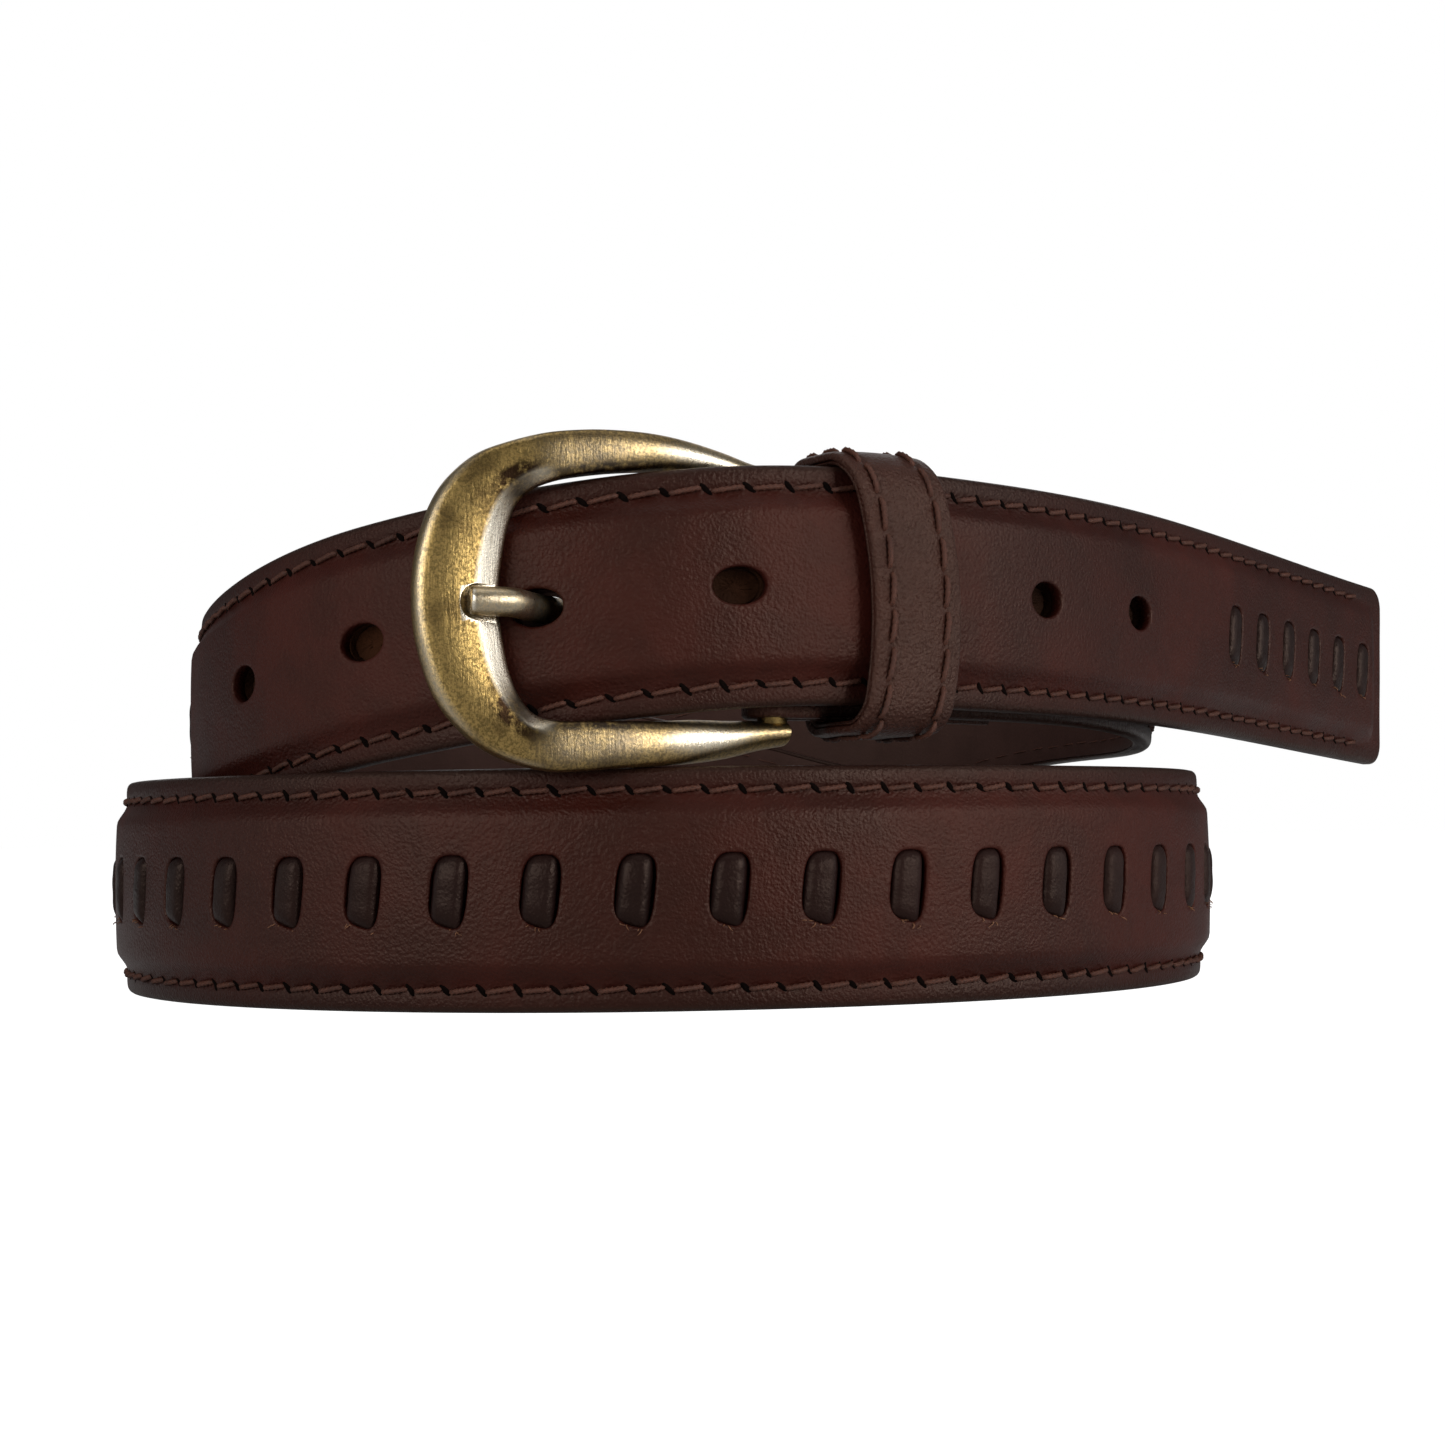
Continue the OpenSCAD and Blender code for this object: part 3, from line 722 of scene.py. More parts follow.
def build_layer(name, s, v, outer_w, inner_w, faces, material, node, slot):
    """A layer of the strap between two heights over the same sheet."""
    verts, solid = thicken(at(s, outer_w, v), at(s, inner_w, v), faces)
    uv = np.stack([np.tile(s, 2), np.tile(v, 2)], -1)
    make(name, verts, flipped(solid), material, "strap", [node], uv=uv, slot=slot)


def build_strap():
    """The front leather, and the lining set back from its edges."""
    s, v, drop, faces = strap_sheet(hole_list() + lace_list())
    build_layer("strap_leather", s, v, face_w(s, v) - drop, back_w(s, v), faces,
                FRONT, "strap_front", "front_leather")
    s, v, _, faces = strap_sheet(lining_holes())
    s = np.minimum(s, TIP_S - LINING_BACK)
    v = LINING_BACK + v * (STRAP_W - 2 * LINING_BACK) / STRAP_W
    soft = np.clip(0.35 - inset(s, v) * 0.2, 0, 0.3)
    build_layer("strap_lining_leather", s, v, np.full_like(s, LINING_T), soft * 0.6, faces,
                LINING, "strap_lining", "lining_leather")


# ---- thread
TWIST = 2.6
STITCH_SHARE = 0.8


def stitch_mesh(place, length, radius, rise_by, sides=10, rings=17):
    """One stitch of two-ply thread. place(a, b, c) maps along, across and out to a point."""
    verts = []
    for k in range(rings):
        t = k / (rings - 1) * 2 - 1
        a = t * length / 2
        c0 = -0.95 * radius + 1.65 * radius * (1 - abs(t) ** 5)
        r = radius * (1 - 0.25 * abs(t) ** 6)
        for j in range(sides):
            th = 2 * math.pi * j / sides
            q = r * (1 + 0.24 * math.cos(2 * (th + TWIST * math.pi * t)))
            verts.append((a, t * rise_by / 2 + q * math.cos(th), c0 + q * math.sin(th)))
    verts = np.array(verts)
    return place(*verts.T), tube_faces(rings, sides)


def build_edge_thread(name, v0, node):
    """Stitches of one row on the front face, with the row's other side on the lining."""
    rng = np.random.default_rng(7)
    parts = []
    count = int((TIP_S - ROW_SHORT) / THREAD_PITCH) + 1
    for k in range(count):
        s0 = ROW_START + k * THREAD_PITCH + rng.normal(0, 0.05)
        dv = rng.normal(0, 0.05)
        lean = 0.5 + rng.normal(0, 0.1)

        def front(a, b, c, s0=s0, dv=dv):
            s = s0 + a
            v = v0 + dv + b
            groove = np.full_like(s, EDGE_T - 0.2)
            return at(s, groove + c + 0.08, v)

        def back(a, b, c, s0=s0, dv=dv):
            return at(s0 + a, 0.1 - c * 0.8, v0 + dv - b * 0.4)

        length = THREAD_PITCH * STITCH_SHARE
        parts.append(stitch_mesh(front, length, THREAD_D * 0.47, lean))
        verts, faces = stitch_mesh(back, length, THREAD_D * 0.4, 0.2, 8, 9)
        parts.append((verts, flipped(faces)))
    make_joined(name, parts, THREAD, "strap", [node], slot="thread")


def build_slit_shades():
    """Near-black leaning discs laid on the face between the stitches of both rows: painted shade
    where the needle cuts are.
    """
    rng = np.random.default_rng(17)
    n = 12
    angle = turn_angles(n)
    faces = [[0, k + 1, (k + 1) % n + 1] for k in range(n)]
    parts = []
    for v0 in (THREAD_IN, STRAP_W - THREAD_IN):
        for k in range(int((TIP_S - ROW_SHORT) / THREAD_PITCH)):
            s0 = ROW_START + (k + 0.5) * THREAD_PITCH + rng.normal(0, 0.06)
            turn = math.radians(40 + rng.normal(0, 6))
            a = np.concatenate([[0], (0.36 + rng.normal(0, 0.03)) * np.cos(angle)])
            b = np.concatenate([[0], (0.95 + rng.normal(0, 0.08)) * np.sin(angle)])
            s = s0 + a * math.cos(turn) - b * math.sin(turn)
            v = v0 + a * math.sin(turn) + b * math.cos(turn)
            w = face_w(s, v)
            parts.append(thicken(at(s, w + 0.03, v), at(s, w - 0.3, v), faces))
    make_joined("needle_slit_shades", parts, SLIT_SHADE, "strap", slot="thread")


# ---- lace
def lace_stitch(o, rng):
    """One flat lace stitch that comes out of its slot above and dives in below."""
    nu, nt = 13, 25
    tt, uu = np.meshgrid(np.linspace(-1, 1, nt), np.linspace(-1, 1, nu), indexing="ij")
    tilt = rng.normal(0, 0.12)
    half_w = (LACE_W / 2 - 0.22) * (1 - 0.08 * smoothstep(0.3, 1, tt))
    skew = -LACE_FOOT * uu * smoothstep(0, -1, tt) + 0.12 * uu * smoothstep(0.5, 1, tt)
    top = 1 - 0.2 * np.abs(uu) ** 2.6 * smoothstep(0.4, 1, tt)
    v_off = tt * (LACE_H / 2 + 0.25) * top + skew
    s_off = uu * half_w - 0.14 + v_off * (LACE_LEAN + tilt * 0.04)
    side = 1 - np.abs(uu) ** 5
    ends = 1 - np.abs(tt) ** 7
    crown = 0.5 * (1 - uu * uu * 0.35) * (0.9 + 0.12 * np.cos(tt * 2.2))
    height = -0.85 + (0.85 + crown) * side * ends + 0.03 * np.sin(tt * 9 + rng.uniform(0, 6))
    s = o.s + s_off
    v = o.v + v_off
    base = face_w(s, np.full_like(s, STRAP_W / 2)) - 0.1 * ((v - o.v) / 5) ** 2
    outer = at(s.ravel(), (base + height).ravel(), v.ravel())
    inner = at(s.ravel(), (base - 1.25).ravel(), v.ravel())
    return thicken(outer, inner, grid_faces(nt, nu))


def build_lace(name, openings, node):
    """One run of lace, a stitch in every slot."""
    rng = np.random.default_rng(11)
    make_joined(name, [lace_stitch(o, rng) for o in openings], LACE, "strap", [node],
                slot="lace_leather")


def torn_fibre(o, rng):
    """A short curled fibre at the foot of a slot."""
    n = 5
    x = rng.uniform(-1.9, 2.1)
    s0, v0 = o.s - 0.45 + x, o.v - LACE_H / 2 - 0.1 - 0.3 * x
    ds, dv, dw = rng.normal(0, 0.45), rng.uniform(-0.75, 0.1), rng.uniform(0.1, 0.35)
    t = np.linspace(0, 1, n)[:, None]
    th = turn_angles(n)
    r = 0.07 * (1 - 0.6 * t)
    s = s0 + ds * t**1.5 + r * np.cos(th)
    v = v0 + dv * t + r * np.sin(th)
    base = face_w(np.array(o.s), np.array(STRAP_W / 2))
    w = base - 0.2 + (0.35 + dw) * np.sin(t * 2.2) + r * np.sin(th + 1)
    return at(s.ravel(), w.ravel(), v.ravel()), tube_faces(n, n)


def fluff_pad(o, rng):
    """A rough pad of leather fluff on the lining at the foot of a hole."""
    n = 32
    angle = np.linspace(0, 2 * math.pi, n + 1)[:-1]
    rings = (0.25, 0.5, 0.75, 0.93)
    s = np.concatenate([o.s + o.half_s * k * np.cos(angle) for k in rings])
    v = np.concatenate([o.v + o.half_v * k * np.sin(angle) for k in rings])
    w = np.concatenate([np.full(n, LINING_T + 0.15 + 0.5 * k * k) for k in rings])
    w = w + rng.uniform(-0.12, 0.12, len(w))
    faces = grid_faces(len(rings), n, close_cols=True) + [list(reversed(range(n)))]
    return thicken(at(s, w, v), at(s, np.full(len(s), LINING_T + 0.01), v), faces)


def build_fibres():
    """Torn fibres where the laces go back in, and leather fluff in the unused holes."""
    rng = np.random.default_rng(23)
    parts = []
    for o in lace_list():
        parts += [torn_fibre(o, rng) for _ in range(int(rng.integers(2, 6)))]
    make_joined("lace_fibres", parts, FIBRE, "strap", slot="thread")
    unused = [o for o in hole_list() if abs(o.s - USED_HOLE_S) > 1]
    make_joined("hole_fluff", [fluff_pad(o, rng) for o in unused], CORE, "strap",
                slot="core_leather", smooth=False)


# ---- bands of leather
def sweep(path, section, closed=False):
    """Sweeps a section of (across, out) points along a path of (point, across, out)."""
    verts = []
    for p, x, y in path:
        verts += [p + x * a + y * b for a, b in section]
    n, m = len(path), len(section)
    if closed:
        return np.array(verts), grid_faces(n, m, close_rows=True, close_cols=True)
    return np.array(verts), tube_faces(n, m)


def band_section(half, t, r, n, grooves=(), crown=0.0):
    """Section of a strip with round corners, stitch grooves and n points on its outer face."""
    top = []
    for x in np.linspace(-half + r, half - r, n):
        y = t + crown * (1 - (x / half) ** 2)
        for gx in grooves:
            y -= 0.22 * math.exp(-((x - gx) / 0.42) ** 2)
        top.append((x, y))
    right = [(half - r + r * math.sin(a), t - r + r * math.cos(a))
             for a in np.linspace(0.35, 1.57, 4)]
    right += [(half - r * 0.7 + r * 0.7 * math.cos(a), r * 0.7 - r * 0.7 * math.sin(a))
              for a in np.linspace(0, 1.57, 4)]
    left = [(-x, y) for x, y in reversed(right)]
    return top + right + left


# The bar's middle, and its axes: along the strap, out, and up along the bar
ORIGIN0, NORMAL0, _, _ = frame_at(0.0)
SLOPE, LEAN, TURN0 = (math.radians(a) for a in (BAR_SLOPE, BAR_LEAN, START_TURN))
BAR_T = np.array([math.cos(TURN0) * math.cos(SLOPE), math.sin(TURN0) * math.cos(SLOPE),
                  math.sin(SLOPE)])
BAR_V = np.cross(NORMAL0, BAR_T)
BAR_N = NORMAL0 * math.cos(LEAN) + BAR_V * math.sin(LEAN)
BAR_U = BAR_V * math.cos(LEAN) - NORMAL0 * math.sin(LEAN)
FOLD_IN = BAR_R + BAR_GAP
FOLD_LO, FOLD_HI = -0.4, 29.9
BAR_W = MID_T - FOLD_IN - FOLD_T
BAR_MID = ORIGIN0 + NORMAL0 * BAR_W + BAR_V * (STRAP_W / 2)
BAR_C = BAR_MID - BAR_U * BAR_DROP


def build_fold():
    """The leather folded round the bar, and its turned-back end inside the coil."""
    mid_v = (FOLD_LO + FOLD_HI) / 2
    line = []
    for s in (BODY_A, 4.2, 3.0, 1.2):
        o, n, u, _ = frame_at(s)
        line.append((o + n * (BAR_W + FOLD_IN) + u * mid_v, n, u))
    for a in np.linspace(90, 270, 25)[1:]:
        c, q = math.cos(math.radians(a)), math.sin(math.radians(a))
        out = BAR_T * c + BAR_N * q
        line.append((BAR_MID + out * FOLD_IN + BAR_U * (mid_v - STRAP_W / 2), out, BAR_U))
    tail = [(1.2, -1.05), (3, -0.6), (4.6, -0.34)]
    tail += [(s, -0.3) for s in (6.5, 13, 19.5, 26, 32.5, FOLD_END)]
    for s, w in smooth_curve(tail, 5):
        o, n, u, _ = frame_at(s)
        line.append((o + n * w + u * mid_v, -n, u))
    path = [(p, u, n) for p, n, u in line]
    section = band_section((FOLD_HI - FOLD_LO) / 2, FOLD_T, 0.6, 24)
    verts, faces = sweep(path, section)
    fold = make("fold_leather", verts, flipped(faces), KEEPER, "strap", ["chape_fold"],
                slot="front_leather")
    half_y, half_z = 4.6, PRONG_R + 1.2
    corners = [(x, y, z) for x in (-7.2, 4.8) for y in (-half_y, half_y) for z in (-half_z, half_z)]
    points = [BAR_C + BAR_T * x - BAR_N * y + BAR_U * z for x, y, z in corners]
    cut_with(fold, "slot_cutter", points, [(0, 1, 3, 2), (4, 6, 7, 5), (0, 4, 5, 1), (2, 3, 7, 6),
                                           (0, 2, 6, 4), (1, 5, 7, 3)])


def build_chape_thread(name, s0, node):
    """A row of stitches across the turned-back end."""
    rng = np.random.default_rng(3)
    parts = []
    n = 6
    pitch = (STRAP_W - 2 * THREAD_IN) / n
    for k in range(n):
        v0 = THREAD_IN + (k + 0.5) * pitch

        def place(a, b, c, v0=v0):
            return at(s0 + b, -0.3 - FOLD_T - c * 0.9 - 0.05, v0 + a)

        parts.append(stitch_mesh(place, pitch * 0.88, THREAD_D / 2, 0.6 + rng.normal(0, 0.05)))
    make_joined(name, parts, THREAD, "strap", [node], slot="thread")


# ---- the keeper
K_O, K_N, K_U, K_T = frame_at(KEEPER_S)
K_IN, K_OUT, K_LO, K_HI = -3.0, 2 * MID_T + 1.35, -0.8, STRAP_W + 1.55
K_ROWS = (-KEEPER_W / 2 + 2.5, KEEPER_W / 2 - 2.6)
K_CROWN = 0.35
K_SKIN = KEEPER_LINING_T + 0.03
K_PITCH = 5.0


def keeper_loop(grow):
    """Points and outward directions of the keeper's loop in the (out, up) plane."""
    x1, x0, y1, y0 = K_OUT + grow, K_IN - grow, K_HI + grow, K_LO - grow
    corners = [(x1, y1, -1, -1, 4.6 + grow), (x0, y1, 1, -1, 3.4 + grow),
               (x0, y0, 1, 1, 1.3 + grow), (x1, y0, -1, 1, 3.4)]
    pts = []
    for k, (x, y, side_x, side_y, r) in enumerate(corners):
        for a in np.linspace(k * math.pi / 2, (k + 1) * math.pi / 2, 12):
            c, q = math.cos(a), math.sin(a)
            pts.append(((x + side_x * r + r * c, y + side_y * r + r * q), (c, q)))
    dense = []
    for i, (p, d) in enumerate(pts):
        q, e = pts[(i + 1) % len(pts)]
        gap = math.dist(p, q)
        steps = max(1, int(gap / 1.6))
        for j in range(steps):
            f = j / steps
            dense.append([np.array(a) * (1 - f) + np.array(b) * f for a, b in ((p, q), (d, e))])
    return dense


def keeper_bow(w, v):
    """The outer wall and the top bow along the belt: the middle stands nearer the tip."""
    share = np.maximum(smoothstep(-2, 4, w), smoothstep(29.5, 32, v))
    return -2.3 * share * ((np.asarray(v, float) - 13) / 18) ** 2


def keeper_face(w, v):
    """The outer wall bows out by 0.8 mm half way up."""
    v = np.asarray(v, float)
    return w + 0.8 * smoothstep(4, 10, w) * np.clip(1 - ((v - 15.5) / 17) ** 2, 0, 1)


def keeper_point(x, w, v):
    """Points at x along the belt, w out and v up, from the keeper's foot."""
    x, out, up = (np.asarray(a, float)[..., None]
                  for a in (x + keeper_bow(w, v), keeper_face(w, v), v))
    return K_O + K_T * x + K_N * out + K_U * up


def build_keeper_band(name, node, slot, grow, t, half, grooves=(), crown=0.0):
    """One of the keeper's two leathers, as a closed loop."""
    path = [(keeper_point(0, *p), K_T, K_N * d[0] + K_U * d[1]) for p, d in keeper_loop(grow)]
    section = band_section(half, t, 0.45, 44, grooves, crown)
    verts, faces = sweep(path, section, closed=True)
    make(name, verts, faces, KEEPER, "keeper", [node], slot=slot)


def build_keeper_thread(name, node, x0):
    """A row of stitches all round the keeper."""
    loop = keeper_loop(K_SKIN + KEEPER_T + K_CROWN * 0.55)
    table = np.array([[*p, *d] for p, d in loop + loop[:1]])
    gaps = np.linalg.norm(np.diff(table[:, :2], axis=0), axis=1)
    dist = np.concatenate([[0], np.cumsum(gaps)])
    total = dist[-1]
    rng = np.random.default_rng(5)
    parts = []
    n = round(total / K_PITCH)
    for k in range(n):
        c0 = (k + 0.5) * total / n
        dx = rng.normal(0, 0.05)

        def place(a, b, c, c0=c0, dx=dx):
            w, v, dw, dv = (np.interp((c0 + a) % total, dist, col) for col in table.T)
            return keeper_point(x0 + dx + b, w + dw * (c + 0.02), v + dv * (c + 0.02))

        parts.append(stitch_mesh(place, total / n * 0.92, THREAD_D / 2, 0.5))
    make_joined(name, parts, THREAD, "keeper", [node], slot="thread")


def build_keeper():
    """The keeper's outer and inner leather and its two rows of stitches."""
    build_keeper_band("keeper_outer_leather", "keeper_leather", "front_leather",
                      K_SKIN, KEEPER_T, KEEPER_W / 2, K_ROWS, K_CROWN)
    build_keeper_band("keeper_inner_leather", "keeper_lining", "lining_leather",
                      0.0, KEEPER_LINING_T, KEEPER_W / 2 - 0.12)
    build_keeper_thread("keeper_thread_left", "keeper_stitch_left", K_ROWS[0])
    build_keeper_thread("keeper_thread_right", "keeper_stitch_right", K_ROWS[1])


# ---- the buckle
# The buckle's axes, towards the bow and away from the viewer, and its notch for the prong
BK_A = math.radians(BUCKLE_TURN - START_TURN)
NOTCH_X, NOTCH_R = 43.3, 2.45
NOTCH_Y = (-9.0, -3.15)
BK_X = -BAR_T * math.cos(BK_A) + BAR_N * math.sin(BK_A)
BK_Y = -BAR_N * math.cos(BK_A) - BAR_T * math.sin(BK_A)
# [outer x, outer height, inner x, inner height] from an arm's end to the bow
ARM_HI = [(-1.9, 18.2, -1.9, 16.8), (-1.75, 18.6, -1.75, 16.4), (-1.2, 18.8, -1.2, 16.3),
          (0.6, 19.1, 0.6, 16.3), (3, 19.5, 3, 16.4), (7, 20.6, 7, 16.8),
          (12, 21.5, 12, 17.1), (17, 22, 17, 17.1),
          (22, 22.1, 22, 16.7), (27, 21.9, 26.5, 16.1), (32, 21.3, 30.5, 15.3),
          (37, 20.1, 33.5, 14.1), (41, 18.4, 35.4, 12.2), (44.4, 15.4, 36.5, 9.4),
          (46.6, 11.9, 37.1, 6.4), (48.1, 7.5, 37.5, 3.6), (48.8, 3.6, 37.7, 1.6),
          (BOW_REACH, 0, 37.7, 0)]
ARM_LO = [(-1.9, 17.9, -1.9, 15.6), (-1.75, 18.3, -1.75, 15.25), (-1.2, 18.5, -1.2, 15.15),
          (0.6, 18.8, 0.6, 15.15), (3, 19.3, 3, 15.15), (7, 20.3, 7, 15.3),
          (12, 21.1, 12, 15.4), (17, 21.6, 17, 15.75),
          (22, 21.95, 22, 15.9), (27, 22.4, 27, 16), (32, 22.5, 31, 16),
          (37, 21.1, 33.6, 14.9), (41, 18.9, 35.4, 12.4), (44.4, 15.6, 36.5, 9.4),
          (46.6, 12, 37.1, 6.4), (48.1, 7.5, 37.5, 3.6), (48.8, 3.6, 37.7, 1.6)]


def on_buckle(x, y, z):
    """Buckle frame to world: x towards the bow, y away from the viewer, z up."""
    x, y, z = (np.asarray(a, float)[..., None] for a in (x, y, z))
    return BAR_C + BK_X * x + BK_Y * y + BAR_U * z


def soft_table(x, stations, values):
    """Table value at x, averaged over 6 mm so that the casting has no kinks."""
    return float(np.mean(np.interp(x + np.linspace(-3, 3, 13), stations, values)))


def cast_t(x):
    """Thickness of the casting from front to back."""
    return soft_table(x, [-2, -1.4, 3, 20, 33, 38, 49], [4.4, 4.8, 4.9, 4.3, 3.8, 4.6, 4.4])


def camber(x):
    """How far the casting arches towards the viewer."""
    return soft_table(x, [-4, 1, 6, 12, 17, 22, 33, 38, 49],
                      [0, 0, 1, 2.8, 4.2, 4.9, 4.9, 3.4, 2.6])


def casting_section(bow, round_by):
    """Section from outside to inside: (fraction across, depth / thickness, share of rubbing and
    painted highlight, share of grime and painted shade).

    bow is 1 on the bow, with its flat face and inner bevel, and 0 on the arms. A small
    round_by gives an arm a flat face, and a large one a round face.
    """
    # On the bow the pale share is a painted highlight on the outer rim and down the inner bevel,
    # the dark share paints shade along the line where the face turns into the bevel, and the inner
    # edge and back are darker.
    flat = [(0, -0.25, 0, 0), (0, 0.02, 0.1, 0), (0.012, 0.16, 0.2, 0), (0.035, 0.27, 0.35, 0),
            (0.07, 0.35, 0.15, 0), (0.12, 0.4, 0, 0), (0.2, 0.445, 0, 0), (0.3, 0.48, 0, 0),
            (0.4, 0.5, 0, 0), (0.5, 0.5, 0, 0.1), (0.6, 0.485, 0, 0.3), (0.66, 0.465, 0, 0.5),
            (0.7, 0.44, 0.25, 0.3), (0.73, 0.41, 0.95, 0), (0.78, 0.34, 1, 0), (0.84, 0.25, 1, 0),
            (0.9, 0.16, 1, 0), (0.95, 0.08, 0.9, 0), (0.98, 0.01, 0.4, 0.1), (1, -0.08, 0, 0.4),
            (1, -0.25, 0, 0.8), (0.97, -0.4, 0, 0.8), (0.9, -0.48, 0, 0.6), (0.75, -0.5, 0, 0.4),
            (0.5, -0.5, 0, 0.3), (0.25, -0.5, 0, 0.3), (0.1, -0.48, 0, 0.3), (0.02, -0.4, 0, 0.2)]
    arm = []
    last = 19
    for i, (f, d, _, _) in enumerate(flat):
        if i <= last:
            a = math.pi * (i / last)
            f = 0.5 - 0.5 * math.cos(a)
            d = -0.12 + 0.62 * math.sin(a) ** round_by
        # An arm is a little paler along its middle and darker on its back half.
        arm.append((f, d, 0.1 * math.sin(min(f, 1) * math.pi), 0.15 if i < 14 else 0.6))
    flat, arm = np.array(flat), np.array(arm)
    return arm * (1 - bow) + flat * bow


def casting_wear(x, inner_z, bow, section):
    """Pale and dark shares of one section: a painted highlight on the arms, grime in the corners,
    painted shade on the arms near x 26 and on the lower bow.
    """
    across, rub_and_highlight_share, grime_and_shade_share = section[:, 0], section[:, 2], section[:, 3]
    corner = math.exp(-((abs(inner_z) - 13.0) / 2.4) ** 2) * bow
    # shine is a painted highlight across the middle of the arms near x 10.
    shine = math.exp(-((x - 10) / 5.5) ** 2)
    # Painted shade: darker on the arms near x 26 and on the lower part of the bow.
    painted_shade = 0.42 * math.exp(-((x - 26) / 8) ** 2) + 0.25 * float(smoothstep(5, 13, -inner_z)) * bow
    row = np.zeros((len(section), 4))
    row[:, 0] = np.maximum(rub_and_highlight_share * (1 - 0.9 * corner),
                           0.9 * shine * np.exp(-((across - 0.5) / 0.25) ** 2))
    row[:, 1] = np.clip(grime_and_shade_share + 0.9 * corner * (across > 0.45), 0, 1)
    row[:, 1] = np.clip(row[:, 1] + painted_shade * (1 - rub_and_highlight_share), 0, 1)
    row[:, 3] = 1
    return row


def build_casting():
    """The horseshoe frame, from the lower arm round the bow to the upper, with its notch."""
    lower = np.array([(a, -b, c, -d) for a, b, c, d in ARM_LO])
    loop = smooth_curve(np.vstack([lower, np.array(ARM_HI)[::-1]]), 9)
    verts, wear = [], []
    for x, z, inner_x, inner_z in loop:
        bow = float(smoothstep(31.5, 37, x))
        section = casting_section(bow, float(np.interp(x, [6, 14, 26], [0.8, 0.6, 0.3])))
        across = section[:, 0]
        y = -(section[:, 1] * cast_t(x) + camber(x))
        verts.append(on_buckle(x + (inner_x - x) * across, y, z + (inner_z - z) * across))
        wear.append(casting_wear(x, inner_z, bow, section))
    faces = tube_faces(len(loop), len(verts[0]))
    casting = make("buckle_casting", np.concatenate(verts), faces, BRASS, "buckle",
                   ["buckle_frame"], wear=np.concatenate(wear), slot="antique_brass")
    fix_normals(casting.data)
    outline = [(NOTCH_X - NOTCH_R + NOTCH_R * math.cos(a), NOTCH_R * math.sin(a))
               for a in np.linspace(-math.pi / 2, math.pi / 2, 25)]
    outline = [(34, -NOTCH_R)] + outline + [(34, NOTCH_R)]
    k = len(outline)
    points = [on_buckle(x, y, z - PRONG_DROP) for y in NOTCH_Y for x, z in outline]
    cut_with(casting, "notch_cutter", points,
             [list(range(k)), list(range(2 * k - 1, k - 1, -1))]
             + [[i, (i + 1) % k, k + (i + 1) % k, k + i] for i in range(k)])
    sharpen(casting, 38)


def build_bar():
    """The bar between the arms, rounded where it meets them."""
    low, high = -15.9, 16.8
    rows = [(low, 1.5), (low + 0.2, BAR_R - 0.1), (low + 0.4, BAR_R),
            (high - 0.4, BAR_R), (high - 0.2, BAR_R - 0.1), (high, 1.5)]
    sides = 40
    th = turn_angles(sides)
    verts = np.concatenate([on_buckle(r * np.cos(th), r * np.sin(th), np.full(sides, z))
                            for z, r in rows])
    wear = np.tile([0, 0.4, 0, 1.0], (len(verts), 1))
    bar = make("buckle_bar_rod", verts, tube_faces(len(rows), sides), BRASS, "buckle",
               ["buckle_bar"], wear=wear, slot="antique_brass")
    fix_normals(bar.data)
    sharpen(bar, 50)


# The prong's route as (x, y, radius), and the section of its eye as (radius, height)
PRONG_WAY = [(3.2, -1.2, 1.5), (9, -2, 1.8), (14, -1.4, PRONG_R), (18, -0.1, PRONG_R),
             (22, 1.7, PRONG_R), (25, 3.2, PRONG_R), (27, 3.7, PRONG_R), (28.6, 2.82, PRONG_R),
             (33.9, -2.3, PRONG_R), (35.3, -3.9, PRONG_R), (36.9, -5.15, PRONG_R),
             (39.5, -5.5, PRONG_R), (41.6, -5.5, 1.88)]
EYE_HALF = [(BAR_GAP, 2.0), (0.2, 2.3), (1.4, 2.3), (1.72, 2.1), (1.8, 1.6)]


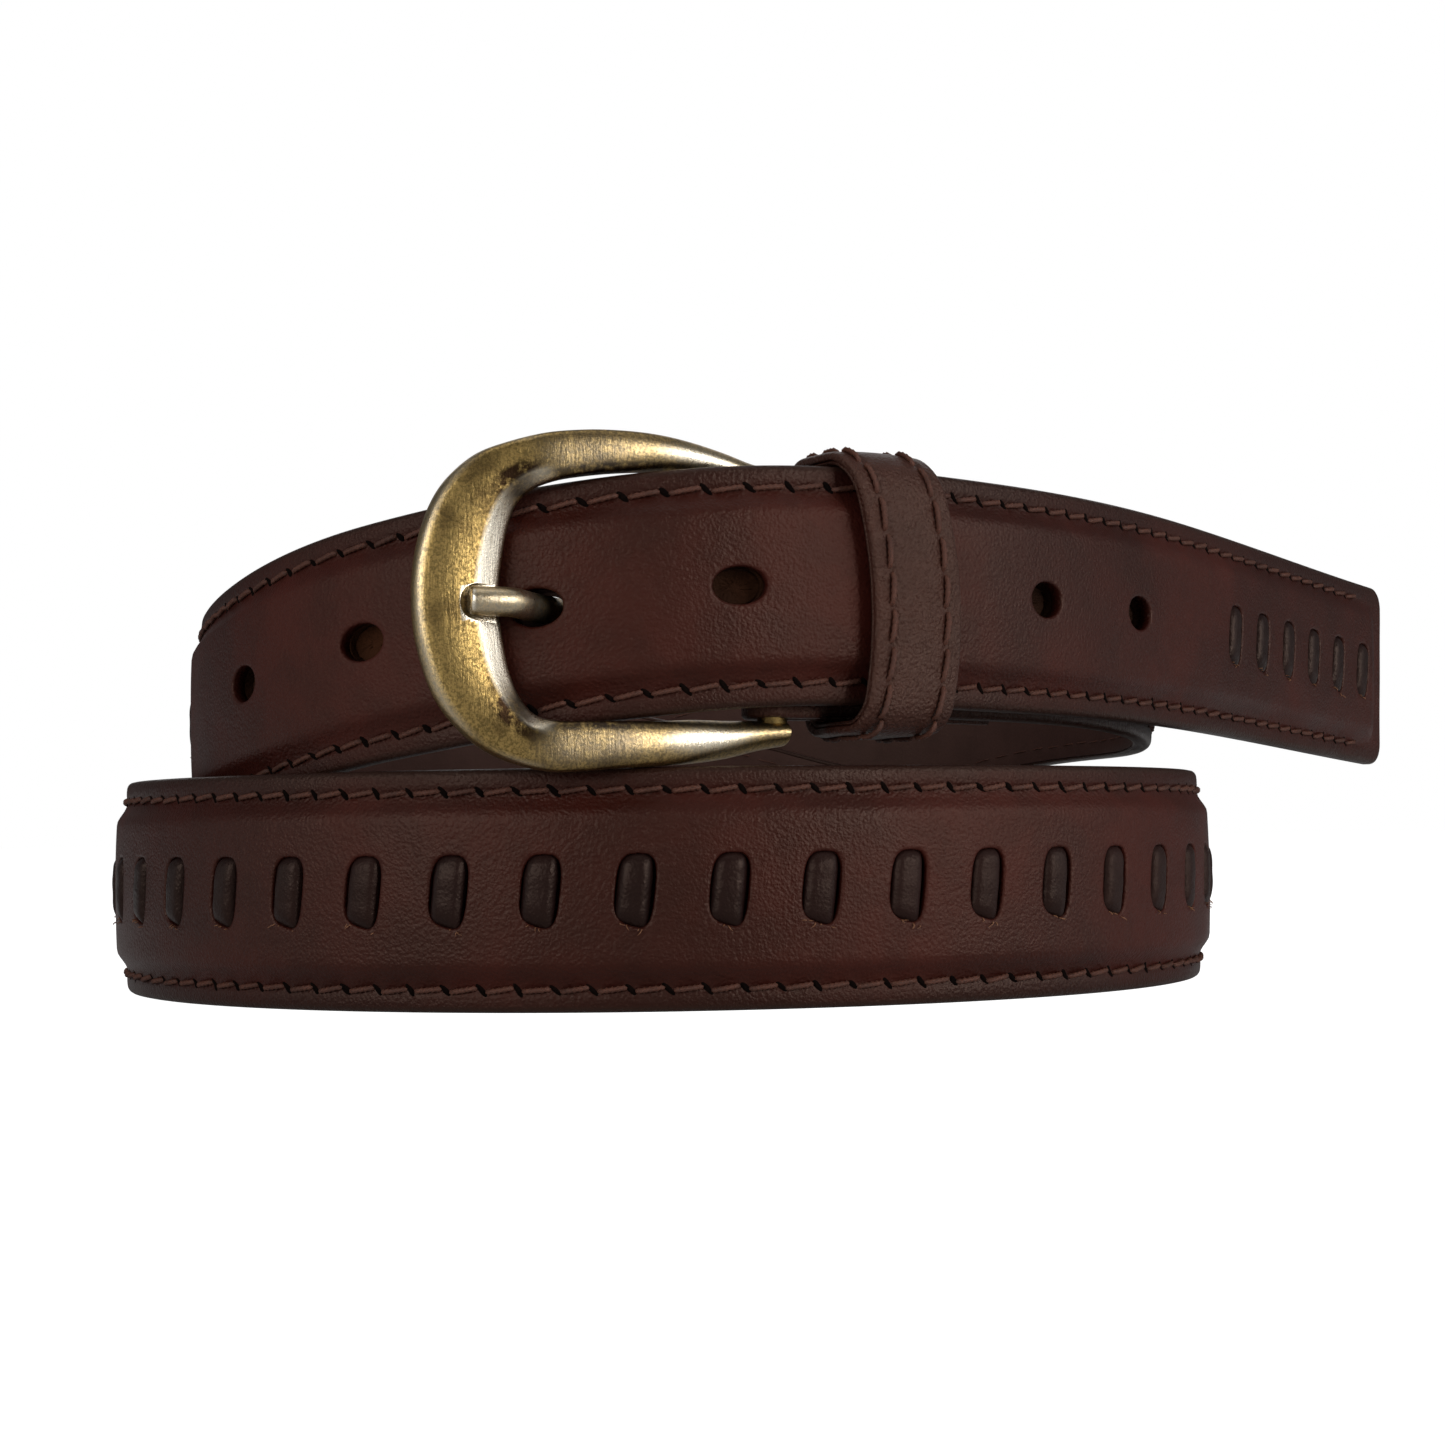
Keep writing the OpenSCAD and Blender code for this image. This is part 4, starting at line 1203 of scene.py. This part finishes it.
def build_prong():
    """The bent prong and the eye that holds it to the bar."""
    way = smooth_curve(PRONG_WAY, 6)
    way = np.vstack([way, (42.0, -5.5, 1.78), (42.22, -5.5, 1.5), (42.3, -5.5, 0.9)])
    sides = 28
    verts, wear = [], []
    for k, (x, y, r) in enumerate(way):
        a, b = way[max(k - 1, 0)], way[min(k + 1, len(way) - 1)]
        d = np.array([b[0] - a[0], b[1] - a[1]])
        d = d / np.linalg.norm(d)
        th = turn_angles(sides)
        px, py = x - d[1] * r * np.cos(th), y + d[0] * r * np.cos(th)
        pz = r * np.sin(th) - PRONG_DROP * min(1, x / 24)
        verts.append(on_buckle(px, py, pz))
        row = np.zeros((sides, 4))
        # Painted highlight on the side of the prong that faces the viewer from x 31 on; the tip is
        # rubbed pale, and the shank is darker towards the bar from x 36 to x 32.
        front = np.exp(-((np.cos(th) + 0.8) / 0.5) ** 2)
        row[:, 0] = 0.35 * front * smoothstep(31, 35, x) + (0.5 if x > 41.9 else 0)
        row[:, 1] = 0.25 + 0.5 * smoothstep(36, 32, x)
        row[:, 3] = 1
        wear.append(row)
    shank = (np.concatenate(verts), tube_faces(len(way), sides))
    ring_n = 48
    section = [(BAR_R + r, -z) for r, z in EYE_HALF] + [(BAR_R + r, z) for r, z in EYE_HALF[::-1]]
    eye = np.array([(r * math.cos(a), r * math.sin(a), z)
                    for a in turn_angles(ring_n) for r, z in section])
    ring = (on_buckle(*eye.T), grid_faces(ring_n, len(section), close_rows=True, close_cols=True))
    wear = np.concatenate(wear + [np.tile([0, 0.5, 0, 1.0], (len(eye), 1))])
    prong = make_joined("prong_bar", [shank, ring], BRASS, "prong", ["prong"], wear=wear,
                        slot="antique_brass")
    fix_normals(prong.data)
    sharpen(prong, 50)


# ---- carried-over CAD nodes
def dress(node, material):
    """Gives a CAD node a finished material."""
    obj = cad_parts[node]
    obj.data.materials.clear()
    obj.data.materials.append(material)


build_camera()
build_stage()
build_lights()
build_strap()
build_edge_thread("edge_thread_upper", STRAP_W - THREAD_IN, "edge_stitch_upper")
build_edge_thread("edge_thread_lower", THREAD_IN, "edge_stitch_lower")
build_slit_shades()
build_lace("lace_body", lace_list()[:LACE_N], "body_lace")
build_lace("lace_tip", lace_list()[LACE_N:], "tip_lace")
build_fibres()
build_fold()
build_chape_thread("chape_thread_near", 5.4, "chape_stitch_near")
build_chape_thread("chape_thread_far", 35, "chape_stitch_far")
build_keeper()
build_casting()
build_bar()
build_prong()
dress("strap_core", CORE)
dress("keeper_staple", STEEL)
